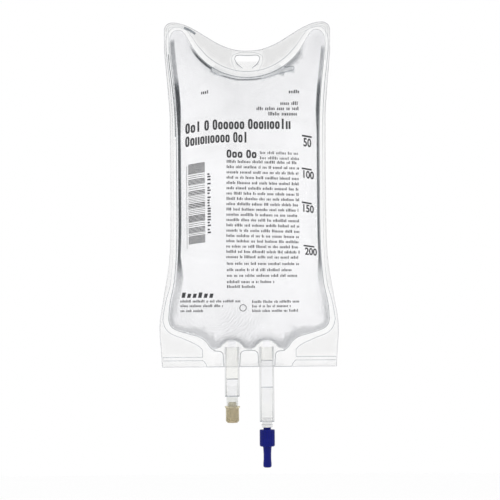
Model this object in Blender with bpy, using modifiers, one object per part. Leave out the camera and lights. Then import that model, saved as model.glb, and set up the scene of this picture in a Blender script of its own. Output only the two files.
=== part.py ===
"""Flexible drip bag: two welded film sheets, the fluid they hold and two port tubes.

The bag hangs upright. X is its width, Y its thickness with the printed side facing
-Y, and Z is up. The origin is the edge of the hanger slot that rests on a hook, at
the middle of the bag's width and halfway between the two sheets. Lengths are metres.
"""
import math

import bmesh
import bpy
import numpy as np
from mathutils import Vector
from mathutils.geometry import delaunay_2d_cdt

# Film and fluid
FILM = 0.0004            # thickness of one sheet
SEAM = 0.0003            # gap kept between two pieces that touch
THICKNESS = 0.0356       # of the full bag, as 262 mL of fluid swell it
HEAD = 0.45              # pressure at the top of the fluid, as a share of what its depth adds
PILLOW = 0.56            # how steeply the film rises from its weld: 0.5 is an ellipse
LOOSE_LIFT = 0.0006      # how far the unwelded margins stand off the weld's plane

# Outer outline of the sheets
HORN_WIDTH = 0.0930      # across the two shoulders
WAIST_WIDTH = 0.0872     # where the full bag draws in
FOOT_WIDTH = 0.1002      # across the lower corners
SKIRT_WIDTH = 0.0978     # along the bottom edge
HORN_TOP = 0.0190        # height of the shoulders
HORN_ROUND = 0.0045      # radius of each shoulder's corner
CREST = 0.0029           # lowest point of the hollow between the shoulders
SHOULDER_FOOT = 0.0030   # where each side starts to draw in
WAIST_TOP = -0.0420      # upper end of the narrow stretch
SKIRT_LEVEL = -0.1742    # bottom edge
WAIST_RISE = 0.0862      # from the bottom edge up to the lower end of the narrow stretch
FOOT_RISE = 0.0242       # and up to where the bag is widest

# Fluid pouch and the weld round it
POUCH_ARC = 0.0361       # radius of the pouch's curved top edge
SLOT_CLEAR = 0.0053      # from the hanger slot's foot down to that edge
ARC_BAND = 0.0033        # width of the weld on the arc
SIDE_BAND = 0.0019       # down the sides
FOOT_BAND = 0.0032       # and along the bottom
HORN_MARGIN = 0.0010     # loose film outside that weld, at the shoulders
WAIST_MARGIN = 0.0017    # at the waist
FOOT_MARGIN = 0.0018     # and at the lower corners
HORN_DROP = 0.0043       # from the top of the shoulders down to the pouch's
FOOT_LIFT = 0.0025       # from the widest part of the sheets up to that of the pouch
SUMP_RISE = 0.0094       # from the bottom edge up to the lowest point of the pouch
CELL_SIDE = 0.0262       # where the loose lower cells meet the welded block
CELL_RISE = 0.0056       # from the bottom edge up to the foot of the cells
CELL_CORNER = 0.0012     # cut across each cell's upper inner corner
STRIP = 0.0019           # width of the weld strip below the cells

# Hanger slot and its flap
SLOT_WIDTH = 0.0140
SLOT_HEIGHT = 0.0067
HINGE_WIDTH = 0.0054     # uncut stretch at the slot's foot, on which the flap turns
SLIT = 0.0003            # gap between the flap's edge and the slot's
FLAP_NECK = 0.0014       # height over which the flap keeps the hinge's width
FLAP_LEAN = math.radians(60)
BEND_CLEAR = 0.0002      # inner radius of the flap's bend, behind the rear sheet
RING = 0.0018            # width of the weld round the slot

# Port tubes
PORT_X = 0.0097          # each port's distance from the middle
PORT_RISE = 0.0112       # from the bottom edge up to the top of both tubes, in the pouch
PORT_RADIUS = 0.0040
PORT_WALL = 0.0006
FIT = 0.00025            # radial clearance of one port piece inside the next
ARCH = 0.0075            # radius of the pouch's edge over each port
ARCH_CLEAR = 0.0034      # from the top of the tubes up to that edge
MOUTH_CLEAR = 0.0010     # height over which the film keeps the tube's form above it
LEAD_IN = 0.0080         # length over which the film then closes
SLEEVE_WALL = 0.0008

INJECTION_TUBE = 0.0277      # length of the injection port's outer tube
INJECTION_SLEEVE = 0.0176    # lengths of the pieces inside it
NECK_LENGTH = 0.0122
NECK_OUT = 0.0061            # how far the neck stands below the tube
NECK_WALL = 0.0006
PLUG_STEM = 0.0030           # the rubber plug's stem, inside the neck
PLUG_LENGTH = 0.0083
PLUG_RADIUS = 0.00315
PLUG_ROUND = 0.0008
BAND_WALL = 0.0003           # clear band round the plug
LIP_RADIUS = 0.0043
LIP_RISE = 0.0010

OUTLET_TUBE = 0.0419
OUTLET_SLEEVE = 0.0073
SPIKE_TUBE_TOP = 0.0226      # depth below the port's top at which the spike tube starts
SPIKE_TUBE_OUT = 0.0032      # how far it stands below the outer tube
SPIKE_WALL = 0.0008
MEMBRANE_DEPTH = 0.0314      # depth of the web that the spike pierces
MEMBRANE = 0.0004
END_RING = 0.0019            # height of the ring at the spike tube's end
END_RING_RADIUS = 0.00305
END_RING_EASE = 0.0002
NECK_CUT = 0.0004            # depth of the groove above that ring
NECK_CUT_IN = 0.0010         # how far the groove reaches up inside the outer tube

# Pull-off stopper of the outlet port
SPIGOT_RADIUS = 0.0021
SPIGOT_IN = 0.0050           # length of the spigot inside the spike tube
SPIGOT_OUT = 0.0012          # length that shows between the ring and the grip
SPIGOT_EASE = 0.0004
GRIP_RADIUS = 0.00425
GRIP_LENGTH = 0.0095
GRIP_EASE = 0.0004           # rounding of the grip's upper edge
GRIP_ROUND = 0.0008          # and of its lower one
TAIL_RADIUS = 0.00235
TAIL_WAIST = 0.00215
TAIL_LENGTH = 0.0118
TAIL_FLARE = 0.0007          # height over which the tail widens into the grip
FLUTES = 16
FLUTE_RADIUS = 0.00050
FLUTE_DEPTH = 0.00022

# Air left under the curved weld
BUBBLE_DEPTH = 0.0014        # at the middle of the arc
BUBBLE_LEFT = -0.0200
BUBBLE_RIGHT = 0.0262
BUBBLE_END = 0.0046          # depth at its round right end
BUBBLE_ROUND = 0.0030        # length of that end

# Widths and levels that follow from these sizes
ARC_LEVEL = POUCH_ARC - SLOT_HEIGHT - SLOT_CLEAR     # centre of the pouch's top edge
POUCH_TOP = ARC_LEVEL - POUCH_ARC                    # that edge, at the bag's middle
POUCH_HORN = HORN_WIDTH - 2 * (SIDE_BAND + HORN_MARGIN)
POUCH_WAIST = WAIST_WIDTH - 2 * (SIDE_BAND + WAIST_MARGIN)
POUCH_FOOT = FOOT_WIDTH - 2 * (FOOT_BAND + FOOT_MARGIN)
POUCH_HORN_TOP = HORN_TOP - HORN_DROP
WAIST_END = SKIRT_LEVEL + WAIST_RISE
FOOT_LEVEL = SKIRT_LEVEL + FOOT_RISE
POUCH_FOOT_LEVEL = FOOT_LEVEL + FOOT_LIFT
POUCH_SUMP = SKIRT_LEVEL + SUMP_RISE
CELL_FOOT = SKIRT_LEVEL + CELL_RISE
PORT_TOP = SKIRT_LEVEL + PORT_RISE
ARCH_TOP = PORT_TOP + ARCH_CLEAR
FLAP_BEND = SEAM / 2 + FILM + BEND_CLEAR             # from the weld's plane to the bend's axis
TUBE_BORE = PORT_RADIUS - PORT_WALL
INNER_RADIUS = TUBE_BORE - FIT                       # of the pieces inside a port tube

# Fineness of the meshes
SAME = 0.000003              # points closer than this are one point
TURN_STEPS = 24              # facets round a turned piece
SAG = 0.00007                # how far a straight edge may cut a curved outline
REACH = 0.0080               # longest edge on an outline
SLOT_REACH = 0.0030          # and round the slot
INSETS = (0.0010, 0.0030, 0.0066, 0.0125)   # rows of points inside the pouch
CLOSE_ROWS = 0.0035          # rows within this follow the outline point for point
ROW_PITCH = 0.0040           # spacing along the other rows, at the pouch's edge
ROW_SPREAD = 0.40            # and what it gains with the row's depth
PITCH = 0.0130               # spacing of the points in the pouch's middle
LOOSE_PITCH = 0.0075         # and in the loose panel and cells
PAST = 0.0020                # how far a line runs over the edge that it has to cut

COLOURS = {
    "front_film": ((0.93, 0.94, 0.95), 0.12),
    "rear_film": ((0.90, 0.91, 0.93), 0.14),
    "saline_fill": ((0.80, 0.88, 0.93), 0.05),
    "injection_port_tube": ((0.90, 0.90, 0.88), 0.25),
    "injection_sleeve": ((0.87, 0.86, 0.78), 0.35),
    "injection_neck": ((0.88, 0.91, 0.90), 0.12),
    "injection_plug": ((0.36, 0.31, 0.20), 0.60),
    "plug_band": ((0.86, 0.86, 0.82), 0.20),
    "outlet_port_tube": ((0.90, 0.91, 0.91), 0.25),
    "outlet_sleeve": ((0.87, 0.86, 0.78), 0.35),
    "spike_tube": ((0.92, 0.92, 0.93), 0.20),
    "outlet_stopper": ((0.012, 0.022, 0.16), 0.38),
}


# Scene and objects


def clear_scene():
    for item in list(bpy.data.objects):
        bpy.data.objects.remove(item, do_unlink=True)


def new_collection(name):
    group = bpy.data.collections.new(name)
    bpy.context.scene.collection.children.link(group)
    return group


def material(name):
    colour, roughness = COLOURS[name]
    finish = bpy.data.materials.new(name)
    finish.use_nodes = True
    shader = finish.node_tree.nodes["Principled BSDF"]
    shader.inputs["Base Color"].default_value = (*colour, 1.0)
    shader.inputs["Roughness"].default_value = roughness
    shader.inputs["Metallic"].default_value = 0.0
    return finish


def add_object(name, mesh, group, location=(0.0, 0.0, 0.0), parent=None):
    item = bpy.data.objects.new(name, mesh)
    group.objects.link(item)
    item.parent = parent
    item.location = location
    if name in COLOURS:
        mesh.materials.append(material(name))
    return item


def add_cutter(name, mesh, group, location=(0.0, 0.0, 0.0)):
    cutter = add_object(name, mesh, group, location)
    cutter.hide_render = True
    cutter.display_type = "WIRE"
    return cutter


def boolean(item, cutter, operation):
    step = item.modifiers.new(cutter.name, "BOOLEAN")
    step.object = cutter
    step.operation = operation
    step.solver = "EXACT"


# Plane curves, as arrays of (x, z)


def spline(knots, steps=12):
    """Smooth curve through the knots, with steps points to each stretch."""
    knots = np.array(knots, float)
    before, after = 2 * knots[0] - knots[1], 2 * knots[-1] - knots[-2]
    ring = np.vstack([before, knots, after])
    t = np.linspace(0, 1, steps, endpoint=False)[:, None]
    runs = []
    for a, b, c, d in zip(ring, ring[1:], ring[2:], ring[3:]):
        runs.append(0.5 * (2 * b + (c - a) * t + (2 * a - 5 * b + 4 * c - d) * t**2
                           + (3 * b - a - 3 * c + d) * t**3))
    return np.vstack(runs + [knots[-1:]])


def arc(centre, radius, start, end, steps=24):
    """Circular arc between two angles in degrees, measured from +X towards +Z."""
    angles = np.radians(np.linspace(start, end, steps + 1))
    return np.column_stack([centre[0] + radius * np.cos(angles),
                            centre[1] + radius * np.sin(angles)])


def joined(*runs):
    line = np.vstack(runs)
    step = np.linalg.norm(np.diff(line, axis=0), axis=1)
    return line[np.concatenate([[True], step > 1e-7])]


def thinned(line, sag=SAG, reach=REACH):
    """The fewest of the line's points that keep within sag of it, none over reach apart."""
    kept, start = [0], 0
    for end in range(2, len(line)):
        chord = line[end] - line[start]
        length = np.linalg.norm(chord)
        off = line[start + 1:end] - line[start]
        bow = np.abs(off[:, 0] * chord[1] - off[:, 1] * chord[0]).max() / length
        if bow > sag or length > reach:
            start = end - 1
            kept.append(start)
    return line[kept + [len(line) - 1]]


def normals(line):
    """Unit normals on the left of the way the line runs."""
    along = np.gradient(line, axis=0)
    along /= np.linalg.norm(along, axis=1)[:, None]
    return np.column_stack([-along[:, 1], along[:, 0]])


def distance(points, line):
    """Distance of each point from an open line."""
    a, b = line[:-1], line[1:]
    span = b - a
    off = points[:, None, :] - a[None]
    t = np.clip((off * span).sum(2) / (span * span).sum(1), 0, 1)
    return np.linalg.norm(off - t[..., None] * span, axis=2).min(1)


def inside(points, loop):
    """Whether each point lies within a closed loop."""
    x, z = points[:, :1], points[:, 1:]
    ax, az = loop[:, 0], loop[:, 1]
    bx, bz = np.roll(ax, -1), np.roll(az, -1)
    crosses = (az > z) != (bz > z)
    reach = ax + (z - az) * (bx - ax) / np.where(bz == az, 1, bz - az)
    return (crosses & (x < reach)).sum(1) % 2 == 1


# Outlines of the right half, each from the middle line outwards and down


def outer_outline():
    """Edge of the sheets: the hollow top, the shoulder, the side and the bottom."""
    horn, waist = HORN_WIDTH / 2, WAIST_WIDTH / 2
    foot, skirt = FOOT_WIDTH / 2, SKIRT_WIDTH / 2
    top_x = horn - HORN_ROUND
    x = np.linspace(0, top_x, 40)
    hollow = CREST + (HORN_TOP - CREST) * (1 - np.cos(np.pi * (x / top_x) ** 1.15)) / 2
    corner = arc((top_x, HORN_TOP - HORN_ROUND), HORN_ROUND, 90, 0)
    widen = FOOT_LEVEL - WAIST_END
    side = spline([
        (horn, SHOULDER_FOOT),
        (waist + 0.5 * (horn - waist), SHOULDER_FOOT + 0.37 * (WAIST_TOP - SHOULDER_FOOT)),
        (waist + 0.06 * (horn - waist), SHOULDER_FOOT + 0.75 * (WAIST_TOP - SHOULDER_FOOT)),
        (waist, WAIST_TOP),
        (waist, WAIST_END),
        (waist + 0.14 * (foot - waist), WAIST_END + 0.42 * widen),
        (waist + 0.61 * (foot - waist), WAIST_END + 0.74 * widen),
        (foot, FOOT_LEVEL),
        (0.4 * foot + 0.6 * skirt, 0.35 * FOOT_LEVEL + 0.65 * SKIRT_LEVEL),
        (skirt, SKIRT_LEVEL),
    ])
    bottom = np.column_stack([np.linspace(skirt, 0, 20), np.full(20, SKIRT_LEVEL)])
    return (thinned(joined(np.column_stack([x, hollow]), corner, side)),
            thinned(bottom, reach=2 * REACH))


def arch_height(x):
    """Level of the pouch's edge over the port, at a distance x from the bag's middle."""
    return ARCH_TOP - ARCH + np.sqrt(ARCH**2 - (x - PORT_X) ** 2)


def pouch_outline():
    """Inner edge of the weld, in three runs: top and side, bottom, and over the port."""
    horn, waist, foot = POUCH_HORN / 2, POUCH_WAIST / 2, POUCH_FOOT / 2
    top = arc((0, ARC_LEVEL), POUCH_ARC, -90, -33)
    end = top[-1]
    rise = POUCH_HORN_TOP - end[1]
    fall = WAIST_TOP - end[1]
    widen = POUCH_FOOT_LEVEL - WAIST_END
    side = spline([
        end,
        (end[0] + 0.24 * (horn - end[0]), end[1] + 0.56 * rise),
        (end[0] + 0.43 * (horn - end[0]), end[1] + 0.90 * rise),
        (end[0] + 0.62 * (horn - end[0]), POUCH_HORN_TOP),
        (end[0] + 0.86 * (horn - end[0]), POUCH_HORN_TOP - 0.12 * rise),
        (horn, POUCH_HORN_TOP - 0.60 * rise),
        (waist + 0.78 * (horn - waist), end[1] + 0.16 * fall),
        (waist + 0.34 * (horn - waist), end[1] + 0.475 * fall),
        (waist + 0.06 * (horn - waist), end[1] + 0.865 * fall),
        (waist, 0.5 * (WAIST_TOP + WAIST_END)),
        (waist + 0.04 * (foot - waist), WAIST_END + 0.25 * widen),
        (waist + 0.32 * (foot - waist), WAIST_END + 0.62 * widen),
        (waist + 0.82 * (foot - waist), WAIST_END + 0.84 * widen),
        (foot, POUCH_FOOT_LEVEL),
    ])
    drop = POUCH_SUMP - POUCH_FOOT_LEVEL
    sump_x = PORT_X + 1.30 * ARCH
    bottom = spline([
        (foot + across * (sump_x - foot), POUCH_FOOT_LEVEL + down * drop)
        for across, down in ((0.0, 0.0), (0.047, 0.20), (0.164, 0.33), (0.41, 0.45),
                             (0.665, 0.56), (0.817, 0.72), (0.906, 0.91), (1.0, 1.0))
    ])
    return joined(top, side), bottom


def channel_columns():
    """Distances from a port's axis at which the film over the tube has its folds."""
    round_radius = PORT_RADIUS + SEAM
    foot = round_radius + 0.2 * PORT_RADIUS
    half = [round_radius * math.sin(math.radians(a)) for a in (30, 60, 80)]
    return np.array([-foot, *(-v for v in reversed(half)), 0.0, *half, foot])


def port_edge():
    """The pouch's edge from beside the port, over it and down to the middle."""
    shoulder = 0.87 * ARCH
    xs = PORT_X + np.concatenate([[shoulder], channel_columns()[::-1], [-shoulder]])
    over = np.column_stack([xs, arch_height(xs)])
    return over, np.array([[0.0, POUCH_SUMP]])


def weld_outline(side, bottom):
    """Outer edge of the weld band, down to the block of weld round the ports."""
    line = joined(side, bottom)
    turned = normals(line)
    x_share = np.interp(line[:, 0], [0.65 * POUCH_HORN / 2, 0.85 * POUCH_HORN / 2], [0, 1])
    width = ARC_BAND + (SIDE_BAND - ARC_BAND) * x_share
    foot_share = np.interp(-line[:, 1], [-0.88 * POUCH_FOOT_LEVEL, -POUCH_FOOT_LEVEL], [0, 1])
    width = width + (FOOT_BAND - SIDE_BAND) * foot_share
    band = line + turned * width[:, None]
    at_block = (line[:, 1] < POUCH_FOOT_LEVEL) & (band[:, 0] < CELL_SIDE + CELL_CORNER)
    band = band[:np.nonzero(at_block)[0][0]]
    return joined(band, [(CELL_SIDE, band[-1, 1] - CELL_CORNER), (CELL_SIDE, CELL_FOOT)])


def slot_outline(width, height, hinge, neck=0.0, top=0.0):
    """Half of the slot or of its flap, from the top's middle down to the hinge."""
    foot = -SLOT_HEIGHT
    knots = [
        (0.0, top),
        (0.36 * width, top + 0.04 * height),
        (0.455 * width, top - 0.06 * height),
        (0.485 * width, top - 0.26 * height),
        (0.430 * width, top - 0.54 * height),
    ]
    if neck:
        knots += [(0.5 * hinge + 0.43 * neck, foot + 1.35 * neck)]
        return joined(spline(knots), [(0.5 * hinge, foot + neck), (0.5 * hinge, foot)])
    return spline(knots + [(0.330 * width, top - 0.79 * height), (0.5 * hinge, foot)])


# Meshing of the sheets


class Sheet:
    """Points and constraint lines of one half sheet, before it is meshed."""

    def __init__(self):
        self.points, self.lines = [], []

    def line(self, points):
        """Adds a line, whose points join those of earlier lines where they meet."""
        chain = [self.index_of(p) for p in points]
        self.lines += [(a, b) for a, b in zip(chain, chain[1:]) if a != b]

    def index_of(self, point):
        if self.points:
            gaps = np.linalg.norm(np.array(self.points) - np.array(point), axis=1)
            if gaps.min() < SAME:
                return int(gaps.argmin())
        self.points.append(tuple(point))
        return len(self.points) - 1

    def scatter(self, points, clear):
        """Adds the points that keep clear of every line and of each other."""
        ends = np.array(self.points)
        a, b = ends[[i for i, _ in self.lines]], ends[[j for _, j in self.lines]]
        for p in np.array(points):
            span, off = b - a, p - a
            t = np.clip((off * span).sum(1) / (span * span).sum(1), 0, 1)
            near = np.linalg.norm(off - t[:, None] * span, axis=1).min()
            loose = np.array(self.points[len(ends):])
            if len(loose):
                near = min(near, np.linalg.norm(loose - p, axis=1).min())
            if near > clear:
                self.points.append(tuple(p))

    def mesh(self):
        """Constrained Delaunay triangles, as points and triples of their indices."""
        made = delaunay_2d_cdt([Vector(p) for p in self.points], self.lines, [], 0, 1e-7)
        points = np.array([(p.x, p.y) for p in made[0]])
        points[np.abs(points[:, 0]) < SAME, 0] = 0.0
        return points, np.array([tuple(f) for f in made[2]])


def grid(low, high, pitch):
    """Staggered grid of points between two corners."""
    rows = np.arange(low[1], high[1], pitch * 0.87)
    return np.array([(x + (i % 2) * pitch / 2, z) for i, z in enumerate(rows)
                     for x in np.arange(low[0], high[0], pitch)])


def pressed_film(points, triangles, free, load):
    """Height of a film stretched over its free points and pressed by the load at each."""
    count = len(points)
    stiff, push = np.zeros((count, count)), np.zeros(count)
    for tri in triangles:
        corners = points[tri]
        edges = np.roll(corners, -2, axis=0) - np.roll(corners, -1, axis=0)
        area = abs(edges[0, 0] * edges[1, 1] - edges[0, 1] * edges[1, 0]) / 2
        stiff[np.ix_(tri, tri)] += edges @ edges.T / (4 * area)
        push[tri] += area / 3 * load[tri]
    height = np.zeros(count)
    height[free] = np.linalg.solve(stiff[np.ix_(free, free)], push[free])
    return height


def channel_height(points):
    """How far the film stands off the weld's plane where it wraps a port tube."""
    radius = PORT_RADIUS + SEAM
    across = np.clip(np.abs(points[:, 0] - PORT_X) / radius, 0, 1)
    above = np.clip((points[:, 1] - PORT_TOP - MOUTH_CLEAR) / LEAD_IN, 0, 1)
    return radius * np.sqrt(1 - across**2) * np.sqrt(1 - above**2)


def half_sheet():
    """Right half of a sheet: its points, triangles, heights and what each triangle is."""
    sheet = Sheet()
    edge, base = outer_outline()
    side, bottom = pouch_outline()
    arch, middle = port_edge()
    weld = weld_outline(side, bottom)
    pouch = joined(thinned(joined(side, bottom)), arch, middle)
    slot = thinned(slot_outline(SLOT_WIDTH, SLOT_HEIGHT, HINGE_WIDTH), reach=SLOT_REACH)
    flap = thinned(slot_outline(SLOT_WIDTH - 2 * SLIT, SLOT_HEIGHT - SLIT,
                                HINGE_WIDTH - 2 * SLIT, FLAP_NECK, -SLIT), reach=SLOT_REACH)
    beyond_side = FOOT_WIDTH / 2 + PAST
    beyond_base = SKIRT_LEVEL - PAST
    strip_foot = CELL_FOOT - STRIP
    strip = np.array([(beyond_side, strip_foot), (CELL_SIDE - 0.15 * STRIP, strip_foot),
                      (CELL_SIDE - STRIP, 0.5 * (strip_foot + SKIRT_LEVEL)),
                      (CELL_SIDE - STRIP, beyond_base)])
    ring = spline([(0.0, RING), (0.30 * SLOT_WIDTH, RING),
                   (0.5 * SLOT_WIDTH + 0.5 * RING, 0.2 * RING),
                   (0.5 * SLOT_WIDTH + RING, -0.3 * SLOT_HEIGHT),
                   (0.5 * SLOT_WIDTH + 0.3 * RING, -0.9 * SLOT_HEIGHT),
                   (0.5 * HINGE_WIDTH + RING, POUCH_TOP + 0.3 * ARC_BAND)])

    outline = joined(edge, base)
    sheet.line(outline)
    sheet.line(pouch)
    sheet.line(thinned(weld))
    sheet.line([(CELL_SIDE, CELL_FOOT), (beyond_side, CELL_FOOT)])
    sheet.line(strip)
    sheet.line(thinned(ring))
    sheet.line(slot)
    sheet.line(flap)
    hinge_level = -SLOT_HEIGHT
    sheet.line([(0.0, hinge_level), (HINGE_WIDTH / 2, hinge_level)])

    # The flap's bend needs rows of its own
    for share in (0.5, 1.0):
        row = hinge_level + share * FLAP_LEAN * FLAP_BEND
        sheet.line([(0.0, row), (HINGE_WIDTH / 2 - SLIT, row)])

    # Folds of the film over the port tube, and the rows above its mouth
    for x in PORT_X + channel_columns():
        top = float(arch_height(x))
        rows = [beyond_base, PORT_TOP, top] + [top + depth for depth in INSETS[:3]]
        sheet.line([(x, z) for z in rows])

    # The middle line of the bag, on which the two halves meet
    levels = [POUCH_TOP - depth for depth in INSETS]
    levels += list(np.arange(levels[-1] - PITCH, POUCH_SUMP + INSETS[-1], -PITCH))
    levels += [POUCH_SUMP + depth for depth in reversed(INSETS)]
    sheet.line([(0.0, CREST), (0.0, 0.0)])
    sheet.line([(0.0, -SLIT), (0.0, hinge_level), (0.0, POUCH_TOP)])
    sheet.line([(0.0, POUCH_TOP), *((0.0, z) for z in levels), (0.0, POUCH_SUMP)])
    sheet.line([(0.0, POUCH_SUMP), (0.0, SKIRT_LEVEL)])

    # Rows inside the pouch's edge, then a grid in its middle
    dense = joined(side, bottom, arch, middle)
    pouch_loop = joined(dense, [(0.0, POUCH_TOP)])
    facing = normals(dense)
    steps = np.concatenate([[0], np.cumsum(np.linalg.norm(np.diff(dense, axis=0), axis=1))])
    for depth in INSETS:
        spacing = ROW_PITCH + ROW_SPREAD * depth
        stops = np.arange(spacing / 2, steps[-1], spacing)
        if depth < CLOSE_ROWS:
            stops = [steps[np.linalg.norm(dense - p, axis=1).argmin()] for p in pouch[1:-1]]
        on = np.column_stack([np.interp(stops, steps, dense[:, i]) for i in (0, 1)])
        turned_in = np.column_stack([np.interp(stops, steps, facing[:, i]) for i in (0, 1)])
        row = on - turned_in / np.linalg.norm(turned_in, axis=1)[:, None] * depth
        row = row[inside(row, pouch_loop)]
        row = row[(distance(row, dense) > 0.93 * depth) & (row[:, 0] > 0.3 * spacing)]
        sheet.scatter(row, 0.75 * INSETS[0])
    middle_grid = grid((0.5 * PITCH, POUCH_SUMP), (FOOT_WIDTH / 2, POUCH_HORN_TOP), PITCH)
    middle_grid = middle_grid[inside(middle_grid, pouch_loop)]
    middle_grid = middle_grid[distance(middle_grid, dense) > INSETS[-1] + 0.4 * PITCH]
    sheet.scatter(middle_grid, 0.4 * PITCH)

    # Points in the loose panel and cells
    loose = grid((0.3 * LOOSE_PITCH, SKIRT_LEVEL), (FOOT_WIDTH / 2, HORN_TOP), LOOSE_PITCH)
    outline_loop = joined(outline, [(0.0, CREST)])
    loose = loose[inside(loose, outline_loop) & ~inside(loose, pouch_loop)]
    weld_loop = joined(weld, [(CELL_SIDE, beyond_base), (0.0, beyond_base)])
    ring_loop = joined(ring, [(0.0, ring[-1, 1])])
    loose = loose[~inside(loose, weld_loop) & ~inside(loose, ring_loop)]
    sheet.scatter(loose, 0.3 * LOOSE_PITCH)

    points, triangles = sheet.mesh()
    centres = points[triangles].mean(1)
    slot_loop = joined(slot, [(0.0, hinge_level)])
    flap_loop = joined(flap, [(0.0, hinge_level)])
    in_flap = inside(centres, flap_loop)
    keep = inside(centres, outline_loop) & ~(inside(centres, slot_loop) & ~in_flap)
    triangles, centres, in_flap = triangles[keep], centres[keep], in_flap[keep]
    in_pouch = inside(centres, pouch_loop)
    strip_loop = np.array([(CELL_SIDE, CELL_FOOT), (beyond_side, CELL_FOOT), strip[0], strip[1]])
    skirt_loop = joined(strip[1:], [(beyond_side, beyond_base)], [strip[0]])
    welded = (inside(centres, weld_loop) & ~inside(centres, skirt_loop)
              | inside(centres, ring_loop) | inside(centres, strip_loop)) & ~in_pouch
    is_open = ~welded

    load = HEAD + np.clip((POUCH_HORN_TOP - points[:, 1]) / (POUCH_HORN_TOP - POUCH_SUMP), 0, 1)
    free = np.zeros(len(points), bool)
    free[triangles[is_open].ravel()] = True
    free[triangles[welded].ravel()] = False
    free &= distance(points, joined(pouch)) > 1e-6
    lift = np.maximum(pressed_film(points, triangles[is_open], free, load), 0.0) ** PILLOW

    pouch_points = np.zeros(len(points), bool)
    pouch_points[triangles[in_pouch].ravel()] = True
    loose_points = free & ~pouch_points
    fullest = THICKNESS / 2 - FILM - SEAM / 2
    height = np.where(pouch_points, fullest * lift / lift[pouch_points].max(), 0.0)
    height[loose_points] = LOOSE_LIFT * lift[loose_points] / lift[loose_points].max()
    height = (height**4 + channel_height(points) ** 4) ** 0.25
    return points, triangles, height, in_pouch, in_flap


HALF = half_sheet()


# The two sheets and the fluid


def leaned(point):
    """Where a point of the flap goes as the flap leans back about the slot's foot."""
    x, y, z = point
    rise = z + SLOT_HEIGHT
    arm = FLAP_BEND - y
    turn = min(rise / FLAP_BEND, FLAP_LEAN)
    straight = rise - FLAP_BEND * turn
    return (x,
            FLAP_BEND - arm * math.cos(turn) + straight * math.sin(turn),
            arm * math.sin(turn) + straight * math.cos(turn) - SLOT_HEIGHT)


def film(name, side, group):
    """One sheet. side is -1 for the front sheet and 1 for the rear one."""
    points, triangles, height, _, in_flap = HALF
    flap_points = set(triangles[in_flap].ravel()) - set(triangles[~in_flap].ravel())
    bm = bmesh.new()
    verts = []
    for i, ((x, z), lift) in enumerate(zip(points, height)):
        place = (x, side * (SEAM / 2 + lift), z)
        verts.append(bm.verts.new(leaned(place) if i in flap_points else place))
    for tri in triangles:
        bm.faces.new([verts[i] for i in tri])
    tidy(bm, side)
    mesh = to_mesh(bm, name)
    item = add_object(name, mesh, group)
    mirror = item.modifiers.new("other_half", "MIRROR")
    mirror.merge_threshold = 1e-6
    wall = item.modifiers.new("film", "SOLIDIFY")
    wall.thickness = FILM
    wall.offset = 1.0
    return item


def tidy(bm, side):
    """Drops unused points and turns the faces outwards: side is -1 towards -Y, else 1."""
    bmesh.ops.delete(bm, geom=[v for v in bm.verts if not v.link_faces], context="VERTS")
    bm.normal_update()
    if sum(f.normal.y * f.calc_area() for f in bm.faces) * side < 0:
        bmesh.ops.reverse_faces(bm, faces=bm.faces)
    bm.normal_update()


def to_mesh(bm, name):
    mesh = bpy.data.meshes.new(name)
    bm.to_mesh(mesh)
    bm.free()
    mesh.shade_smooth()
    return mesh


def fluid(group, cutters):
    """The liquid: it fills the pouch and both port tubes, less the air under the arc."""
    points, triangles, height, in_pouch, _ = HALF
    triangles = triangles[in_pouch]
    used = sorted(set(triangles.ravel()))
    side, bottom = pouch_outline()
    arch, middle = port_edge()
    edge = joined(thinned(joined(side, bottom)), arch, middle)
    bm = bmesh.new()
    verts = {i: bm.verts.new((points[i, 0], -height[i], points[i, 1])) for i in used}
    for tri in triangles:
        bm.faces.new([verts[i] for i in tri])
    tidy(bm, -1)
    edge_normals = normals(edge)
    for vert in list(bm.verts):
        at = np.array([vert.co.x, vert.co.z])
        near = np.linalg.norm(edge - at, axis=1)
        if near.min() < 1e-6:
            inward = -edge_normals[near.argmin()]
            x = at[0] + 2 * SEAM * inward[0] if at[0] > 1e-6 else 0.0
            vert.co = Vector((x, 0.0, at[1] + 2 * SEAM * inward[1]))
        else:
            moved = vert.co - vert.normal * SEAM
            vert.co = Vector((moved.x if at[0] > 1e-6 else 0.0, moved.y, moved.z))
    item = add_object("saline_fill", to_mesh(bm, "saline_fill"), group)
    mirror = item.modifiers.new("other_quarters", "MIRROR")
    mirror.use_axis = (True, True, False)
    mirror.merge_threshold = 1e-5
    sleeve_bore = INNER_RADIUS - SLEEVE_WALL
    neck_top = INJECTION_TUBE + NECK_OUT - NECK_LENGTH
    stem_top = INJECTION_TUBE + NECK_OUT - PLUG_STEM
    columns = {
        "injection_column": (-PORT_X, [(sleeve_bore, SEAM + INJECTION_SLEEVE),
                                       (TUBE_BORE, neck_top),
                                       (INNER_RADIUS - NECK_WALL, stem_top)]),
        "outlet_column": (PORT_X, [(sleeve_bore, SEAM + OUTLET_SLEEVE),
                                   (TUBE_BORE, SPIKE_TUBE_TOP),
                                   (INNER_RADIUS - SPIKE_WALL, MEMBRANE_DEPTH)]),
    }
    for name, (x, bores) in columns.items():
        start = ARCH_CLEAR + 0.5 * LEAD_IN
        profile = [(0.0, start), (bores[0][0] - FIT, start)]
        for i, (bore, end) in enumerate(bores):
            narrows = i + 1 == len(bores) or bores[i + 1][0] < bore
            level = -end + (SEAM if narrows else -SEAM)
            profile.append((bore - FIT, level))
            if i + 1 < len(bores):
                profile.append((bores[i + 1][0] - FIT, level))
        profile.append((0.0, profile[-1][1]))
        column = add_cutter(name, profile_mesh(name, profile), cutters, (x, 0.0, PORT_TOP))
        screw(column)
        boolean(item, column, "UNION")
    boolean(item, bubble(cutters), "DIFFERENCE")
    return item


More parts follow.
